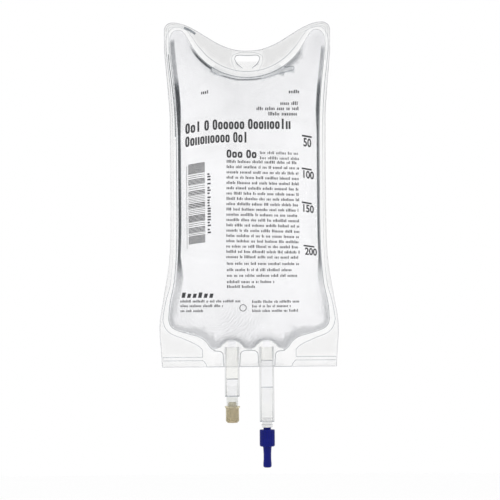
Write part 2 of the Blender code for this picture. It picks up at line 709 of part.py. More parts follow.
def bubble(cutters):
    """Outline of the air under the curved weld, as a block that cuts through the fluid."""
    def under(x, depth):
        return (x, ARC_LEVEL - math.sqrt(POUCH_ARC**2 - x**2) - depth)

    right = BUBBLE_RIGHT - BUBBLE_ROUND
    back = right - BUBBLE_ROUND
    lower = spline([
        under(BUBBLE_LEFT, 0.0),
        under(0.96 * BUBBLE_LEFT, 1.9 * BUBBLE_DEPTH),
        under(0.60 * BUBBLE_LEFT, 1.25 * BUBBLE_DEPTH),
        under(0.25 * BUBBLE_LEFT, 1.20 * BUBBLE_DEPTH),
        under(0.15 * right, BUBBLE_DEPTH),
        under(0.50 * right, 1.5 * BUBBLE_DEPTH),
        under(0.78 * right, 0.76 * BUBBLE_END),
        under(right, BUBBLE_END),
        under(BUBBLE_RIGHT, 0.62 * BUBBLE_END),
        (BUBBLE_RIGHT - 0.27 * BUBBLE_ROUND, under(BUBBLE_RIGHT, 0.26 * BUBBLE_END)[1]),
        under(back, 0.06 * BUBBLE_END),
    ], 5)
    upper = [(0.9 * back, under(back, 0.0)[1]), (BUBBLE_LEFT, 0.0)]
    curve = bpy.data.curves.new("air_outline", "CURVE")
    curve.dimensions = "2D"
    curve.fill_mode = "BOTH"
    curve.extrude = THICKNESS
    loop = joined(lower, upper)
    run = curve.splines.new("POLY")
    run.points.add(len(loop) - 1)
    for point, (x, z) in zip(run.points, loop):
        point.co = (x, z, 0.0, 1.0)
    run.use_cyclic_u = True
    shape = bpy.data.objects.new("air_outline", curve)
    cutters.objects.link(shape)
    shape.rotation_euler = (math.pi / 2, 0.0, 0.0)
    bpy.context.view_layer.update()
    evaluated = shape.evaluated_get(bpy.context.evaluated_depsgraph_get())
    mesh = bpy.data.meshes.new_from_object(evaluated)
    mesh.transform(shape.matrix_world)
    bpy.data.objects.remove(shape, do_unlink=True)
    bm = bmesh.new()
    bm.from_mesh(mesh)
    bmesh.ops.remove_doubles(bm, verts=bm.verts, dist=1e-6)
    bmesh.ops.recalc_face_normals(bm, faces=bm.faces)
    bm.to_mesh(mesh)
    bm.free()
    return add_cutter("air_pocket", mesh, cutters)


# Turned pieces of the ports


def profile_mesh(name, profile, closed=False):
    """Edges of a turning profile, given as (radius, height) down its outer side."""
    mesh = bpy.data.meshes.new(name)
    count = len(profile)
    edges = [(i, i + 1) for i in range(count - 1)]
    if closed:
        edges.append((count - 1, 0))
    mesh.from_pydata([(r, 0.0, z) for r, z in profile], edges, [])
    return mesh


def screw(item):
    turn = item.modifiers.new("turned", "SCREW")
    turn.axis = "Z"
    turn.angle = 2 * math.pi
    turn.steps = TURN_STEPS
    turn.render_steps = TURN_STEPS
    turn.use_merge_vertices = True
    turn.merge_threshold = 1e-6
    turn.use_smooth_shade = True


def turned(name, profile, closed, group, axis):
    item = add_object(name, profile_mesh(name, profile, closed), group, parent=axis)
    screw(item)
    return item


def tube(name, radius, wall, top, length, group, axis):
    """Plain tube from depth top down, its ends eased."""
    ease = 0.25 * wall
    bore, foot = radius - wall, -top - length
    profile = [
        (radius - ease, -top), (radius, -top - ease),
        (radius, foot + ease), (radius - ease, foot),
        (bore, foot), (bore, -top),
    ]
    return turned(name, profile, True, group, axis)


def quarter_round(centre, radius, start, steps=3):
    """Points round a convex corner, turning a quarter clockwise from start degrees."""
    angles = [math.radians(start - 90 * i / steps) for i in range(steps + 1)]
    return [(centre[0] + radius * math.cos(a), centre[1] + radius * math.sin(a)) for a in angles]


def injection_port(group, axis):
    """Outer tube, cream sleeve, clear neck, rubber plug and the clear band round it."""
    tube("injection_port_tube", PORT_RADIUS, PORT_WALL, 0.0, INJECTION_TUBE, group, axis)
    tube("injection_sleeve", INNER_RADIUS, SLEEVE_WALL, SEAM, INJECTION_SLEEVE, group, axis)
    neck_foot = INJECTION_TUBE + NECK_OUT
    tube("injection_neck", INNER_RADIUS, NECK_WALL, neck_foot - NECK_LENGTH, NECK_LENGTH,
         group, axis)

    stem = INNER_RADIUS - NECK_WALL - FIT
    shoulder = -neck_foot - SEAM
    foot = shoulder - PLUG_LENGTH
    profile = [
        (0.0, shoulder + SEAM + PLUG_STEM), (0.86 * stem, shoulder + SEAM + PLUG_STEM),
        (stem, shoulder + 0.88 * PLUG_STEM), (stem, shoulder),
        (PLUG_RADIUS, shoulder),
        *quarter_round((PLUG_RADIUS - PLUG_ROUND, foot + PLUG_ROUND), PLUG_ROUND, 0),
        (0.0, foot),
    ]
    turned("injection_plug", profile, False, group, axis)

    inner = PLUG_RADIUS + FIT
    outer = inner + BAND_WALL
    top = shoulder
    lip = [
        (LIP_RADIUS, top + LIP_RISE), (LIP_RADIUS - 0.35 * BAND_WALL, top + 0.55 * LIP_RISE),
        (outer + 0.45 * (LIP_RADIUS - outer), top - 0.1 * BAND_WALL), (outer, top - BAND_WALL),
        (outer, foot + PLUG_ROUND), (inner, foot + PLUG_ROUND), (inner, top),
        (outer, top + 0.75 * BAND_WALL),
        (LIP_RADIUS - 1.6 * BAND_WALL, top + 0.70 * LIP_RISE),
        (LIP_RADIUS - 0.9 * BAND_WALL, top + LIP_RISE),
    ]
    turned("plug_band", lip, True, group, axis)


def outlet_port(group, axis):
    """Outer tube, cream sleeve and the spike tube with its web and end ring."""
    tube("outlet_port_tube", PORT_RADIUS, PORT_WALL, 0.0, OUTLET_TUBE, group, axis)
    tube("outlet_sleeve", INNER_RADIUS, SLEEVE_WALL, SEAM, OUTLET_SLEEVE, group, axis)

    outer = INNER_RADIUS
    inner = outer - SPIKE_WALL
    end = OUTLET_TUBE + SPIKE_TUBE_OUT
    ring_top = end - END_RING
    groove = outer - NECK_CUT
    groove_top = NECK_CUT_IN - OUTLET_TUBE
    ease = END_RING_EASE
    profile = [
        (0.0, -MEMBRANE_DEPTH), (inner, -MEMBRANE_DEPTH), (inner, -SPIKE_TUBE_TOP),
        (outer, -SPIKE_TUBE_TOP), (outer, groove_top), (groove, groove_top - NECK_CUT),
        (groove, -ring_top + ease), (END_RING_RADIUS, -ring_top - ease),
        (END_RING_RADIUS, -end + ease), (END_RING_RADIUS - ease, -end),
        (inner, -end), (inner, -MEMBRANE_DEPTH - MEMBRANE), (0.0, -MEMBRANE_DEPTH - MEMBRANE),
    ]
    turned("spike_tube", profile, False, group, axis)


def stopper(group, axis, cutters):
    """Pull-off stopper: a spigot in the spike tube, a fluted grip and a tail."""
    ring_foot = -(OUTLET_TUBE + SPIKE_TUBE_OUT)
    grip_top = ring_foot - SPIGOT_OUT
    grip_foot = grip_top - GRIP_LENGTH
    tail_foot = grip_foot - TAIL_LENGTH
    tail_round = 0.45 * TAIL_RADIUS
    spigot_top = ring_foot + SPIGOT_IN
    profile = [
        (0.0, spigot_top), (SPIGOT_RADIUS - SPIGOT_EASE, spigot_top),
        (SPIGOT_RADIUS, spigot_top - 2 * SPIGOT_EASE), (SPIGOT_RADIUS, grip_top),
        *quarter_round((GRIP_RADIUS - GRIP_EASE, grip_top - GRIP_EASE), GRIP_EASE, 90, 2),
        *quarter_round((GRIP_RADIUS - GRIP_ROUND, grip_foot + GRIP_ROUND), GRIP_ROUND, 0),
        (TAIL_RADIUS + 0.3 * TAIL_FLARE, grip_foot), (TAIL_RADIUS, grip_foot - TAIL_FLARE),
        (TAIL_WAIST, grip_foot - 0.35 * TAIL_LENGTH), (TAIL_WAIST, grip_foot - 0.60 * TAIL_LENGTH),
        (TAIL_RADIUS, grip_foot - 0.80 * TAIL_LENGTH),
        *quarter_round((TAIL_RADIUS - tail_round, tail_foot + tail_round), tail_round, 0),
        (0.0, tail_foot),
    ]
    item = turned("outlet_stopper", profile, False, group, axis)

    bm = bmesh.new()
    flute_top, flute_foot = grip_top - 2 * GRIP_EASE, grip_foot + 1.3 * GRIP_ROUND
    reach = GRIP_RADIUS + FLUTE_RADIUS - FLUTE_DEPTH
    for i in range(FLUTES):
        angle = 2 * math.pi * (i + 0.5) / FLUTES
        middle = (reach * math.cos(angle), reach * math.sin(angle), (flute_top + flute_foot) / 2)
        made = bmesh.ops.create_cone(bm, cap_ends=True, segments=6, radius1=FLUTE_RADIUS,
                                     radius2=FLUTE_RADIUS, depth=flute_top - flute_foot)
        bmesh.ops.translate(bm, verts=made["verts"], vec=middle)
    mesh = bpy.data.meshes.new("flutes")
    bm.to_mesh(mesh)
    bm.free()
    flutes = add_cutter("flutes", mesh, cutters, axis.location)
    boolean(item, flutes, "DIFFERENCE")


def port_axis(name, x, group):
    axis = bpy.data.objects.new(name, None)
    axis.location = (x, 0.0, PORT_TOP)
    group.objects.link(axis)
    return axis


def main():
    clear_scene()
    group = new_collection("drip_bag")
    cutters = new_collection("cutters")
    film("front_film", -1, group)
    film("rear_film", 1, group)
    fluid(group, cutters)
    injection_port(group, port_axis("injection_axis", -PORT_X, group))
    outlet = port_axis("outlet_axis", PORT_X, group)
    outlet_port(group, outlet)
    stopper(group, outlet, cutters)


main()
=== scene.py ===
# %% [markdown]
# # A full drip bag, made to look real
#
# The bag is two clear sheets welded together, the fluid that swells them and two port
# tubes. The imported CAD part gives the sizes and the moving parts. This script gives the
# looks: finer meshes of the same shapes, what light does in film and fluid, and the print.
# Lengths are in metres: X across, Y through the bag with the print at -Y, and Z up from
# the edge of the slot that rests on a hook.

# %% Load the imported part
import math
import random

import bmesh
import bpy
import numpy as np
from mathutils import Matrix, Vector
from mathutils.bvhtree import BVHTree
from mathutils.geometry import delaunay_2d_cdt


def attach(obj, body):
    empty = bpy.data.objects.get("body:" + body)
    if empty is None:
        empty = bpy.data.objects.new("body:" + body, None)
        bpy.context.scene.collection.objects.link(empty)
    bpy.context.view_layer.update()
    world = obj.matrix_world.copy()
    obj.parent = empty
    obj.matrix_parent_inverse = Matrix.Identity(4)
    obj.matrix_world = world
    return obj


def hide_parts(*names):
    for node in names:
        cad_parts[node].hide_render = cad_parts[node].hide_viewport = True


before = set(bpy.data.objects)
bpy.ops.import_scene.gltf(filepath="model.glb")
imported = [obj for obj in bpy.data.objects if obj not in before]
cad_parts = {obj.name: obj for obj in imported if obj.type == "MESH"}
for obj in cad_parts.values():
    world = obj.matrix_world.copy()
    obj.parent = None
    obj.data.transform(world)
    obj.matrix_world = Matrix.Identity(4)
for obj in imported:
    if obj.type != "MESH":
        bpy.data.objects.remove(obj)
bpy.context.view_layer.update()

# %% [markdown]
# ## Plane curves
#
# A bag like this is cut and welded from flat film, so a few flat outlines give its whole
# shape. Each one is an array of (x, z) points. A smooth curve through a few knots is
# enough for the sides, because film cut by a die has no straight corners there.

# %% Drawing a line
SAG = 0.00002                # how far a chord may cut a curve
REACH = 0.0030               # longest edge on an outline


def spline(knots, steps=12):
    """Smooth curve through the knots, with steps points to each stretch."""
    knots = np.array(knots, float)
    before, after = 2 * knots[0] - knots[1], 2 * knots[-1] - knots[-2]
    ring = np.vstack([before, knots, after])
    t = np.linspace(0, 1, steps, endpoint=False)[:, None]
    runs = []
    for a, b, c, d in zip(ring, ring[1:], ring[2:], ring[3:]):
        runs.append(0.5 * (2 * b + (c - a) * t + (2 * a - 5 * b + 4 * c - d) * t**2
                           + (3 * b - a - 3 * c + d) * t**3))
    return np.vstack(runs + [knots[-1:]])


def arc(centre, radius, start, end, steps=40):
    """Circular arc between two angles in degrees, measured from +X towards +Z."""
    angles = np.radians(np.linspace(start, end, steps + 1))
    return np.column_stack([centre[0] + radius * np.cos(angles),
                            centre[1] + radius * np.sin(angles)])


def between(start, end, shares):
    """Points given as shares of the way from start to end, across and along."""
    return [(start[0] + across * (end[0] - start[0]), start[1] + along * (end[1] - start[1]))
            for across, along in shares]


def joined(*runs):
    line = np.vstack(runs)
    step = np.linalg.norm(np.diff(line, axis=0), axis=1)
    return line[np.concatenate([[True], step > 1e-7])]


def thinned(line, reach=REACH):
    """The fewest of the line's points that keep within SAG of it, none over reach apart."""
    kept, start = [0], 0
    for end in range(2, len(line)):
        chord = line[end] - line[start]
        length = np.linalg.norm(chord)
        off = line[start + 1:end] - line[start]
        bow = np.abs(off[:, 0] * chord[1] - off[:, 1] * chord[0]).max() / length
        if bow > SAG or length > reach:
            start = end - 1
            kept.append(start)
    return line[kept + [len(line) - 1]]


def lengths(line):
    """Distance from the line's start to each of its points."""
    return np.concatenate([[0], np.cumsum(np.linalg.norm(np.diff(line, axis=0), axis=1))])


def at_stops(stops, steps, values):
    """Values known at the steps along a line, read at the stops."""
    return np.column_stack([np.interp(stops, steps, column) for column in values.T])


print("curves are kept within", SAG * 1000, "mm")


# %% Measuring from a line
def normals(line):
    """Unit normals on the left of the way the line runs."""
    along = np.gradient(line, axis=0)
    along /= np.linalg.norm(along, axis=1)[:, None]
    return np.column_stack([-along[:, 1], along[:, 0]])


def distance(points, line):
    """Distance of each point from an open line."""
    a, b = line[:-1], line[1:]
    span = b - a
    nearest = []
    for block in np.array_split(points, max(1, len(points) // 500)):
        off = block[:, None, :] - a[None]
        t = np.clip((off * span).sum(2) / (span * span).sum(1), 0, 1)
        nearest.append(np.linalg.norm(off - t[..., None] * span, axis=2).min(1))
    return np.concatenate(nearest)


def inside(points, loop):
    """Whether each point lies within a closed loop."""
    x, z = points[:, :1], points[:, 1:]
    ax, az = loop[:, 0], loop[:, 1]
    bx, bz = np.roll(ax, -1), np.roll(az, -1)
    crosses = (az > z) != (bz > z)
    reach = ax + (z - az) * (bx - ax) / np.where(bz == az, 1, bz - az)
    return (crosses & (x < reach)).sum(1) % 2 == 1


above = distance(np.array([(0.5, 3.0)]), np.array([(0.0, 0.0), (1.0, 0.0)]))
print("a point 3 above a line is", above[0], "from it")

# %% [markdown]
# ## Outlines of the right half
#
# The left half is the mirror of the right one. The sheets have a hollow top edge between
# two shoulders, which a die cuts. They could be traced as one path, but a few widths and
# levels are easier to check against the CAD part, and the curves run between them.

# %% Cut edge
HORN_WIDTH = 0.0930          # across the two shoulders
WAIST_WIDTH = 0.0872         # where the full bag draws in
FOOT_WIDTH = 0.1002          # across the lower corners
SKIRT_WIDTH = 0.0978         # along the bottom edge
HORN_TOP = 0.0190
HORN_ROUND = 0.0045          # radius of each shoulder's corner
CREST = 0.0029               # lowest point of the hollow between the shoulders
SHOULDER_FOOT = 0.0030
WAIST_TOP = -0.0420
WAIST_END = -0.0880
FOOT_LEVEL = -0.1500
SKIRT_LEVEL = -0.1742


def outer_outline():
    """Edge of the sheets: the hollow top, the shoulder and the side, then the bottom."""
    horn, waist = HORN_WIDTH / 2, WAIST_WIDTH / 2
    foot, skirt = FOOT_WIDTH / 2, SKIRT_WIDTH / 2
    top_x = horn - HORN_ROUND
    x = np.linspace(0, top_x, 60)
    hollow = CREST + (HORN_TOP - CREST) * (1 - np.cos(np.pi * (x / top_x) ** 1.15)) / 2
    corner = arc((top_x, HORN_TOP - HORN_ROUND), HORN_ROUND, 90, 0)
    side = spline([
        *between((waist, SHOULDER_FOOT), (horn, WAIST_TOP),
                 ((1, 0), (0.5, 0.37), (0.06, 0.75), (0, 1))),
        *between((waist, WAIST_END), (foot, FOOT_LEVEL),
                 ((0, 0), (0.14, 0.42), (0.61, 0.74), (1, 1))),
        (0.4 * foot + 0.6 * skirt, 0.35 * FOOT_LEVEL + 0.65 * SKIRT_LEVEL),
        (skirt, SKIRT_LEVEL),
    ])
    bottom = np.column_stack([np.linspace(skirt, 0, 30), np.full(30, SKIRT_LEVEL)])
    return (thinned(joined(np.column_stack([x, hollow]), corner, side)),
            thinned(bottom, reach=2 * REACH))


EDGE, BASE = outer_outline()
print("cut edge", len(EDGE), "points,", FOOT_WIDTH * 1000, "mm across the foot")

# %% [markdown]
# ## Edge of the pouch
#
# The pouch ends at the weld's inner edge: an arc below the slot, the sides, and a small
# arch over each port tube. The film over a tube folds along straight lines, so the mesh
# has columns of points there.

# %% Pouch and ports
SEAM = 0.0003                # gap kept between two pieces that touch
POUCH_ARC = 0.0361           # radius of the curved top edge
ARC_LEVEL = 0.0241           # and the level of its centre
POUCH_TOP = -0.0120
POUCH_HORN = 0.0872
POUCH_WAIST = 0.0800
POUCH_FOOT = 0.0902
POUCH_HORN_TOP = 0.0147
POUCH_FOOT_LEVEL = -0.1475
POUCH_SUMP = -0.1648         # lowest level of the fluid between the tubes
PORT_X = 0.0097
PORT_TOP = -0.1630
PORT_RADIUS = 0.0040
ARCH = 0.0075                # radius of the pouch's edge over a tube
ARCH_CLEAR = 0.0034          # and how far above the tube it runs
ARCH_TOP = PORT_TOP + ARCH_CLEAR


def arch_height(x):
    """Level of the pouch's edge over the port, at a distance x from the bag's middle."""
    return ARCH_TOP - ARCH + np.sqrt(ARCH**2 - (x - PORT_X) ** 2)


def pouch_outline():
    """Inner edge of the weld, in two runs: top and side, then the bottom."""
    horn, waist, foot = POUCH_HORN / 2, POUCH_WAIST / 2, POUCH_FOOT / 2
    top = arc((0, ARC_LEVEL), POUCH_ARC, -90, -33)
    end = top[-1]
    side = spline([
        *between(end, (horn, POUCH_HORN_TOP),
                 ((0, 0), (0.24, 0.56), (0.43, 0.90), (0.62, 1), (0.86, 0.88), (1, 0.40))),
        *between((waist, end[1]), (horn, WAIST_TOP),
                 ((0.78, 0.16), (0.34, 0.475), (0.06, 0.865))),
        (waist, 0.5 * (WAIST_TOP + WAIST_END)),
        *between((waist, WAIST_END), (foot, POUCH_FOOT_LEVEL),
                 ((0.04, 0.25), (0.32, 0.62), (0.82, 0.84), (1, 1))),
    ])
    bottom = spline(between((foot, POUCH_FOOT_LEVEL), (PORT_X + 1.30 * ARCH, POUCH_SUMP), (
        (0.0, 0.0), (0.047, 0.20), (0.164, 0.33), (0.41, 0.45), (0.665, 0.56), (0.817, 0.72),
        (0.906, 0.91), (1.0, 1.0))))
    return joined(top, side), bottom


def channel_columns():
    """Distances from a port's axis at which the film over the tube has its folds."""
    round_radius = PORT_RADIUS + SEAM
    foot = round_radius + 0.2 * PORT_RADIUS
    half = [round_radius * math.sin(math.radians(a)) for a in (15, 30, 45, 60, 72, 80, 86)]
    return np.array([-foot, *(-v for v in reversed(half)), 0.0, *half, foot])


def port_edge():
    """The pouch's edge from beside the port, over it and down beside it again."""
    shoulder = 0.87 * ARCH
    xs = PORT_X + np.concatenate([[shoulder], channel_columns()[::-1], [-shoulder]])
    return np.column_stack([xs, arch_height(xs)])


SIDE, BOTTOM = pouch_outline()
ARCH_RUN = joined(port_edge(), [(0.0, POUCH_SUMP)])
POUCH_EDGE = joined(SIDE, BOTTOM, ARCH_RUN)
print("pouch edge", len(POUCH_EDGE), "points")

# %% [markdown]
# ## Weld and hanger slot
#
# A heated bar welds a band round the pouch, widest on the arc and along the foot. The slot
# is punched through both sheets inside a small ring of weld, and its flap stays on an
# uncut stretch at the foot, so the flap gets an outline of its own.

# %% Weld band, slot and ring
ARC_BAND = 0.0033            # width of the weld on the arc
SIDE_BAND = 0.0019           # down the sides
FOOT_BAND = 0.0032           # and along the bottom
CELL_SIDE = 0.0262           # where the loose lower cells meet the welded block
CELL_FOOT = -0.1686
CELL_CORNER = 0.0012
STRIP = 0.0019               # width of the weld strip below the cells
SLOT_WIDTH = 0.0140
SLOT_HEIGHT = 0.0067
SLOT_FOOT = -SLOT_HEIGHT
HINGE_WIDTH = 0.0054         # uncut stretch on which the flap turns
SLIT = 0.0003
FLAP_NECK = 0.0014
RING = 0.0018                # width of the weld round the slot


def weld_outline(line):
    """Outer edge of the weld band, down to the block of weld round the ports."""
    x_share = np.interp(line[:, 0], [0.65 * POUCH_HORN / 2, 0.85 * POUCH_HORN / 2], [0, 1])
    width = ARC_BAND + (SIDE_BAND - ARC_BAND) * x_share
    foot_share = np.interp(-line[:, 1], [-0.88 * POUCH_FOOT_LEVEL, -POUCH_FOOT_LEVEL], [0, 1])
    width = width + (FOOT_BAND - SIDE_BAND) * foot_share
    band = line + normals(line) * width[:, None]
    at_block = (line[:, 1] < POUCH_FOOT_LEVEL) & (band[:, 0] < CELL_SIDE + CELL_CORNER)
    band = band[:np.nonzero(at_block)[0][0]]
    return joined(band, [(CELL_SIDE, band[-1, 1] - CELL_CORNER), (CELL_SIDE, CELL_FOOT)])


def slot_outline(width, height, hinge, neck=0.0, top=0.0):
    """Half of the slot or of its flap, from the top's middle down to the hinge."""
    knots = [(0.0, top)]
    knots += [(across * width, top + down * height) for across, down in (
        (0.36, 0.04), (0.455, -0.06), (0.485, -0.26), (0.430, -0.54))]
    if neck:
        knots += [(0.5 * hinge + 0.43 * neck, SLOT_FOOT + 1.35 * neck)]
        return joined(spline(knots),
                      [(0.5 * hinge, SLOT_FOOT + neck), (0.5 * hinge, SLOT_FOOT)])
    return spline(knots + [(0.330 * width, top - 0.79 * height), (0.5 * hinge, SLOT_FOOT)])


WELD = weld_outline(joined(SIDE, BOTTOM))
SLOT_RING = spline([(0.0, RING), (0.30 * SLOT_WIDTH, RING),
                    (0.5 * SLOT_WIDTH + 0.5 * RING, 0.2 * RING),
                    (0.5 * SLOT_WIDTH + RING, -0.3 * SLOT_HEIGHT),
                    (0.5 * SLOT_WIDTH + 0.3 * RING, -0.9 * SLOT_HEIGHT),
                    (0.5 * HINGE_WIDTH + RING, POUCH_TOP + 0.3 * ARC_BAND)])
print("weld", len(WELD), "points, ring round the slot", len(SLOT_RING), "points")

# %% [markdown]
# ## Air pocket
#
# A little air stays under the arc. Its lower edge is drawn point by point, because it has
# a hook at the left and a round end at the right that no formula gives.

# %% Edge of the air
BUBBLE_DEPTH = 0.0014
BUBBLE_LEFT = -0.0200
BUBBLE_RIGHT = 0.0262
BUBBLE_END = 0.0046
BUBBLE_ROUND = 0.0030
BUBBLE_LEVEL = -0.0062


def under_arc(x, depth):
    return (x, ARC_LEVEL - math.sqrt(POUCH_ARC**2 - x**2) - depth)


def air_edge():
    """Lower edge of the air, from its hooked left end to its round right one."""
    right = BUBBLE_RIGHT - BUBBLE_ROUND
    tip = BUBBLE_RIGHT - 0.3 * BUBBLE_ROUND
    return spline([
        under_arc(BUBBLE_LEFT, 0.0),
        under_arc(0.96 * BUBBLE_LEFT, 1.9 * BUBBLE_DEPTH),
        under_arc(0.60 * BUBBLE_LEFT, 1.25 * BUBBLE_DEPTH),
        under_arc(0.25 * BUBBLE_LEFT, 1.20 * BUBBLE_DEPTH),
        under_arc(0.15 * right, BUBBLE_DEPTH),
        under_arc(0.40 * right, 1.25 * BUBBLE_DEPTH),
        under_arc(0.70 * right, 0.50 * BUBBLE_END),
        (0.95 * right, BUBBLE_LEVEL - 0.92 * BUBBLE_ROUND),
        (tip, BUBBLE_LEVEL - 0.70 * BUBBLE_ROUND),
        (BUBBLE_RIGHT, BUBBLE_LEVEL - 0.30 * BUBBLE_ROUND),
        (tip, BUBBLE_LEVEL),
        (0.93 * right, BUBBLE_LEVEL - 0.08 * BUBBLE_ROUND),
        under_arc(right - BUBBLE_ROUND, 0.06 * BUBBLE_END),
    ], steps=10)


WATER_EDGE = air_edge()
roof = np.linspace(0.9 * WATER_EDGE[-1, 0], 0.95 * WATER_EDGE[0, 0], 9)
AIR_LOOP = joined(WATER_EDGE, [under_arc(x, -0.5 * ARC_BAND) for x in roof])
print("air pocket", round((BUBBLE_RIGHT - BUBBLE_LEFT) * 1000, 1), "mm wide")

# %% [markdown]
# ## The shape of a full sheet
#
# Film held by a weld and pushed by fluid bulges like a soap film, so its height solves
# Poisson's equation with a load that grows with depth. The cloth simulator would do the
# same, but slowly and not to a known volume. The mesh is a Delaunay one whose rows follow
# the weld, where the film turns the most.

# %% A sheet before it is meshed
SAME = 0.000003              # points closer than this are one point


class Sheet:
    """Points and constraint lines of one half sheet."""

    def __init__(self):
        self.points, self.lines = [], []

    def line(self, points):
        chain = [self.index_of(p) for p in points]
        self.lines += [(a, b) for a, b in zip(chain, chain[1:]) if a != b]

    def index_of(self, point):
        if self.points:
            gaps = np.linalg.norm(np.array(self.points) - np.array(point), axis=1)
            if gaps.min() < SAME:
                return int(gaps.argmin())
        self.points.append(tuple(point))
        return len(self.points) - 1

    def scatter(self, points, clear):
        """Adds the points that keep clear of every line and of each other."""
        ends = np.array(self.points)
        a, b = ends[[i for i, _ in self.lines]], ends[[j for _, j in self.lines]]
        for p in np.array(points):
            span, off = b - a, p - a
            t = np.clip((off * span).sum(1) / (span * span).sum(1), 0, 1)
            near = np.linalg.norm(off - t[:, None] * span, axis=1).min()
            loose = np.array(self.points[len(ends):])
            if len(loose):
                near = min(near, np.linalg.norm(loose - p, axis=1).min())
            if near > clear:
                self.points.append(tuple(p))

    def mesh(self):
        made = delaunay_2d_cdt([Vector(p) for p in self.points], self.lines, [], 0, 1e-7)
        points = np.array([(p.x, p.y) for p in made[0]])
        points[np.abs(points[:, 0]) < SAME, 0] = 0.0
        return points, np.array([tuple(f) for f in made[2]])


def grid(low, high, pitch):
    """Staggered grid of points between two corners."""
    rows = np.arange(low[1], high[1], pitch * 0.87)
    return np.array([(x + (i % 2) * pitch / 2, z) for i, z in enumerate(rows)
                     for x in np.arange(low[0], high[0], pitch)])


sheet = Sheet()
print("points of a sheet closer than", SAME * 1e6, "micrometres are one")

# %% Lines that the mesh follows
FILM = 0.0004
FLAP_LEAN = math.radians(60)
FLAP_BEND = SEAM / 2 + FILM + 0.0002         # from the weld's plane to the bend's axis
PAST = 0.0020                # how far lines run over the sheet's edge
SLOT_REACH = 0.0012
PITCH = 0.0050               # spacing of the points in the pouch's middle
INSETS = (0.0006, 0.0012, 0.0019, 0.0028, 0.0040, 0.0056, 0.0076, 0.0100, 0.0130)

beyond_side = FOOT_WIDTH / 2 + PAST
beyond_base = SKIRT_LEVEL - PAST
strip_foot = CELL_FOOT - STRIP
strip = np.array([(beyond_side, strip_foot), (CELL_SIDE - 0.15 * STRIP, strip_foot),
                  (CELL_SIDE - STRIP, 0.5 * (strip_foot + SKIRT_LEVEL)),
                  (CELL_SIDE - STRIP, beyond_base)])
pouch = joined(thinned(joined(SIDE, BOTTOM)), ARCH_RUN)
outline = joined(EDGE, BASE)
slot = thinned(slot_outline(SLOT_WIDTH, SLOT_HEIGHT, HINGE_WIDTH), reach=SLOT_REACH)
flap = thinned(slot_outline(SLOT_WIDTH - 2 * SLIT, SLOT_HEIGHT - SLIT,
                            HINGE_WIDTH - 2 * SLIT, FLAP_NECK, -SLIT), reach=SLOT_REACH)
for line in (outline, pouch, thinned(WELD), [(CELL_SIDE, CELL_FOOT), (beyond_side, CELL_FOOT)],
             strip, thinned(SLOT_RING), slot, flap,
             [(0.0, SLOT_FOOT), (HINGE_WIDTH / 2, SLOT_FOOT)]):
    sheet.line(line)
for share in (0.25, 0.5, 0.75, 1.0):
    row = SLOT_FOOT + share * FLAP_LEAN * FLAP_BEND
    sheet.line([(0.0, row), (HINGE_WIDTH / 2 - SLIT, row)])
for x in PORT_X + channel_columns():
    top = float(arch_height(x))
    sheet.line([(x, z) for z in (beyond_base, PORT_TOP, top, *(top + d for d in INSETS[:5]))])

levels = [POUCH_TOP - depth for depth in INSETS]
levels += list(np.arange(levels[-1] - PITCH, POUCH_SUMP + INSETS[-1], -PITCH))
levels += [POUCH_SUMP + depth for depth in reversed(INSETS)]
for stops in ((CREST, 0.0), (-SLIT, SLOT_FOOT, POUCH_TOP), (POUCH_TOP, *levels, POUCH_SUMP),
              (POUCH_SUMP, SKIRT_LEVEL)):
    sheet.line([(0.0, z) for z in stops])
print(len(sheet.lines), "edges that the mesh keeps")

# %% Points between the lines
CLOSE_ROWS = 0.0025          # rows within this of the weld follow it point for point
ROW_PITCH = 0.0026
ROW_SPREAD = 0.14            # what the spacing gains with the row's depth
LOOSE_PITCH = 0.0034

pouch_loop = joined(POUCH_EDGE, [(0.0, POUCH_TOP)])
outline_loop = joined(outline, [(0.0, CREST)])
weld_loop = joined(WELD, [(CELL_SIDE, beyond_base), (0.0, beyond_base)])
ring_loop = joined(SLOT_RING, [(0.0, SLOT_RING[-1, 1])])
facing = normals(POUCH_EDGE)
steps = lengths(POUCH_EDGE)
for depth in INSETS:
    spacing = ROW_PITCH + ROW_SPREAD * depth
    stops = np.arange(spacing / 2, steps[-1], spacing)
    if depth < CLOSE_ROWS:
        stops = [steps[np.linalg.norm(POUCH_EDGE - p, axis=1).argmin()] for p in pouch[1:-1]]
    turned_in = at_stops(stops, steps, facing)
    turned_in /= np.linalg.norm(turned_in, axis=1)[:, None]
    row = at_stops(stops, steps, POUCH_EDGE) - turned_in * depth
    row = row[inside(row, pouch_loop)]
    row = row[(distance(row, POUCH_EDGE) > 0.93 * depth) & (row[:, 0] > 0.3 * spacing)]
    sheet.scatter(row, 0.75 * INSETS[0])

spots = grid((0.5 * PITCH, POUCH_SUMP), (FOOT_WIDTH / 2, POUCH_HORN_TOP), PITCH)
spots = spots[inside(spots, pouch_loop)]
sheet.scatter(spots[distance(spots, POUCH_EDGE) > INSETS[-1] + 0.4 * PITCH], 0.4 * PITCH)
spots = grid((0.3 * LOOSE_PITCH, SKIRT_LEVEL), (FOOT_WIDTH / 2, HORN_TOP), LOOSE_PITCH)
spots = spots[inside(spots, outline_loop) & ~inside(spots, pouch_loop)]
spots = spots[~inside(spots, weld_loop) & ~inside(spots, ring_loop)]
sheet.scatter(spots, 0.3 * LOOSE_PITCH)
print(len(sheet.points), "points in the half sheet")

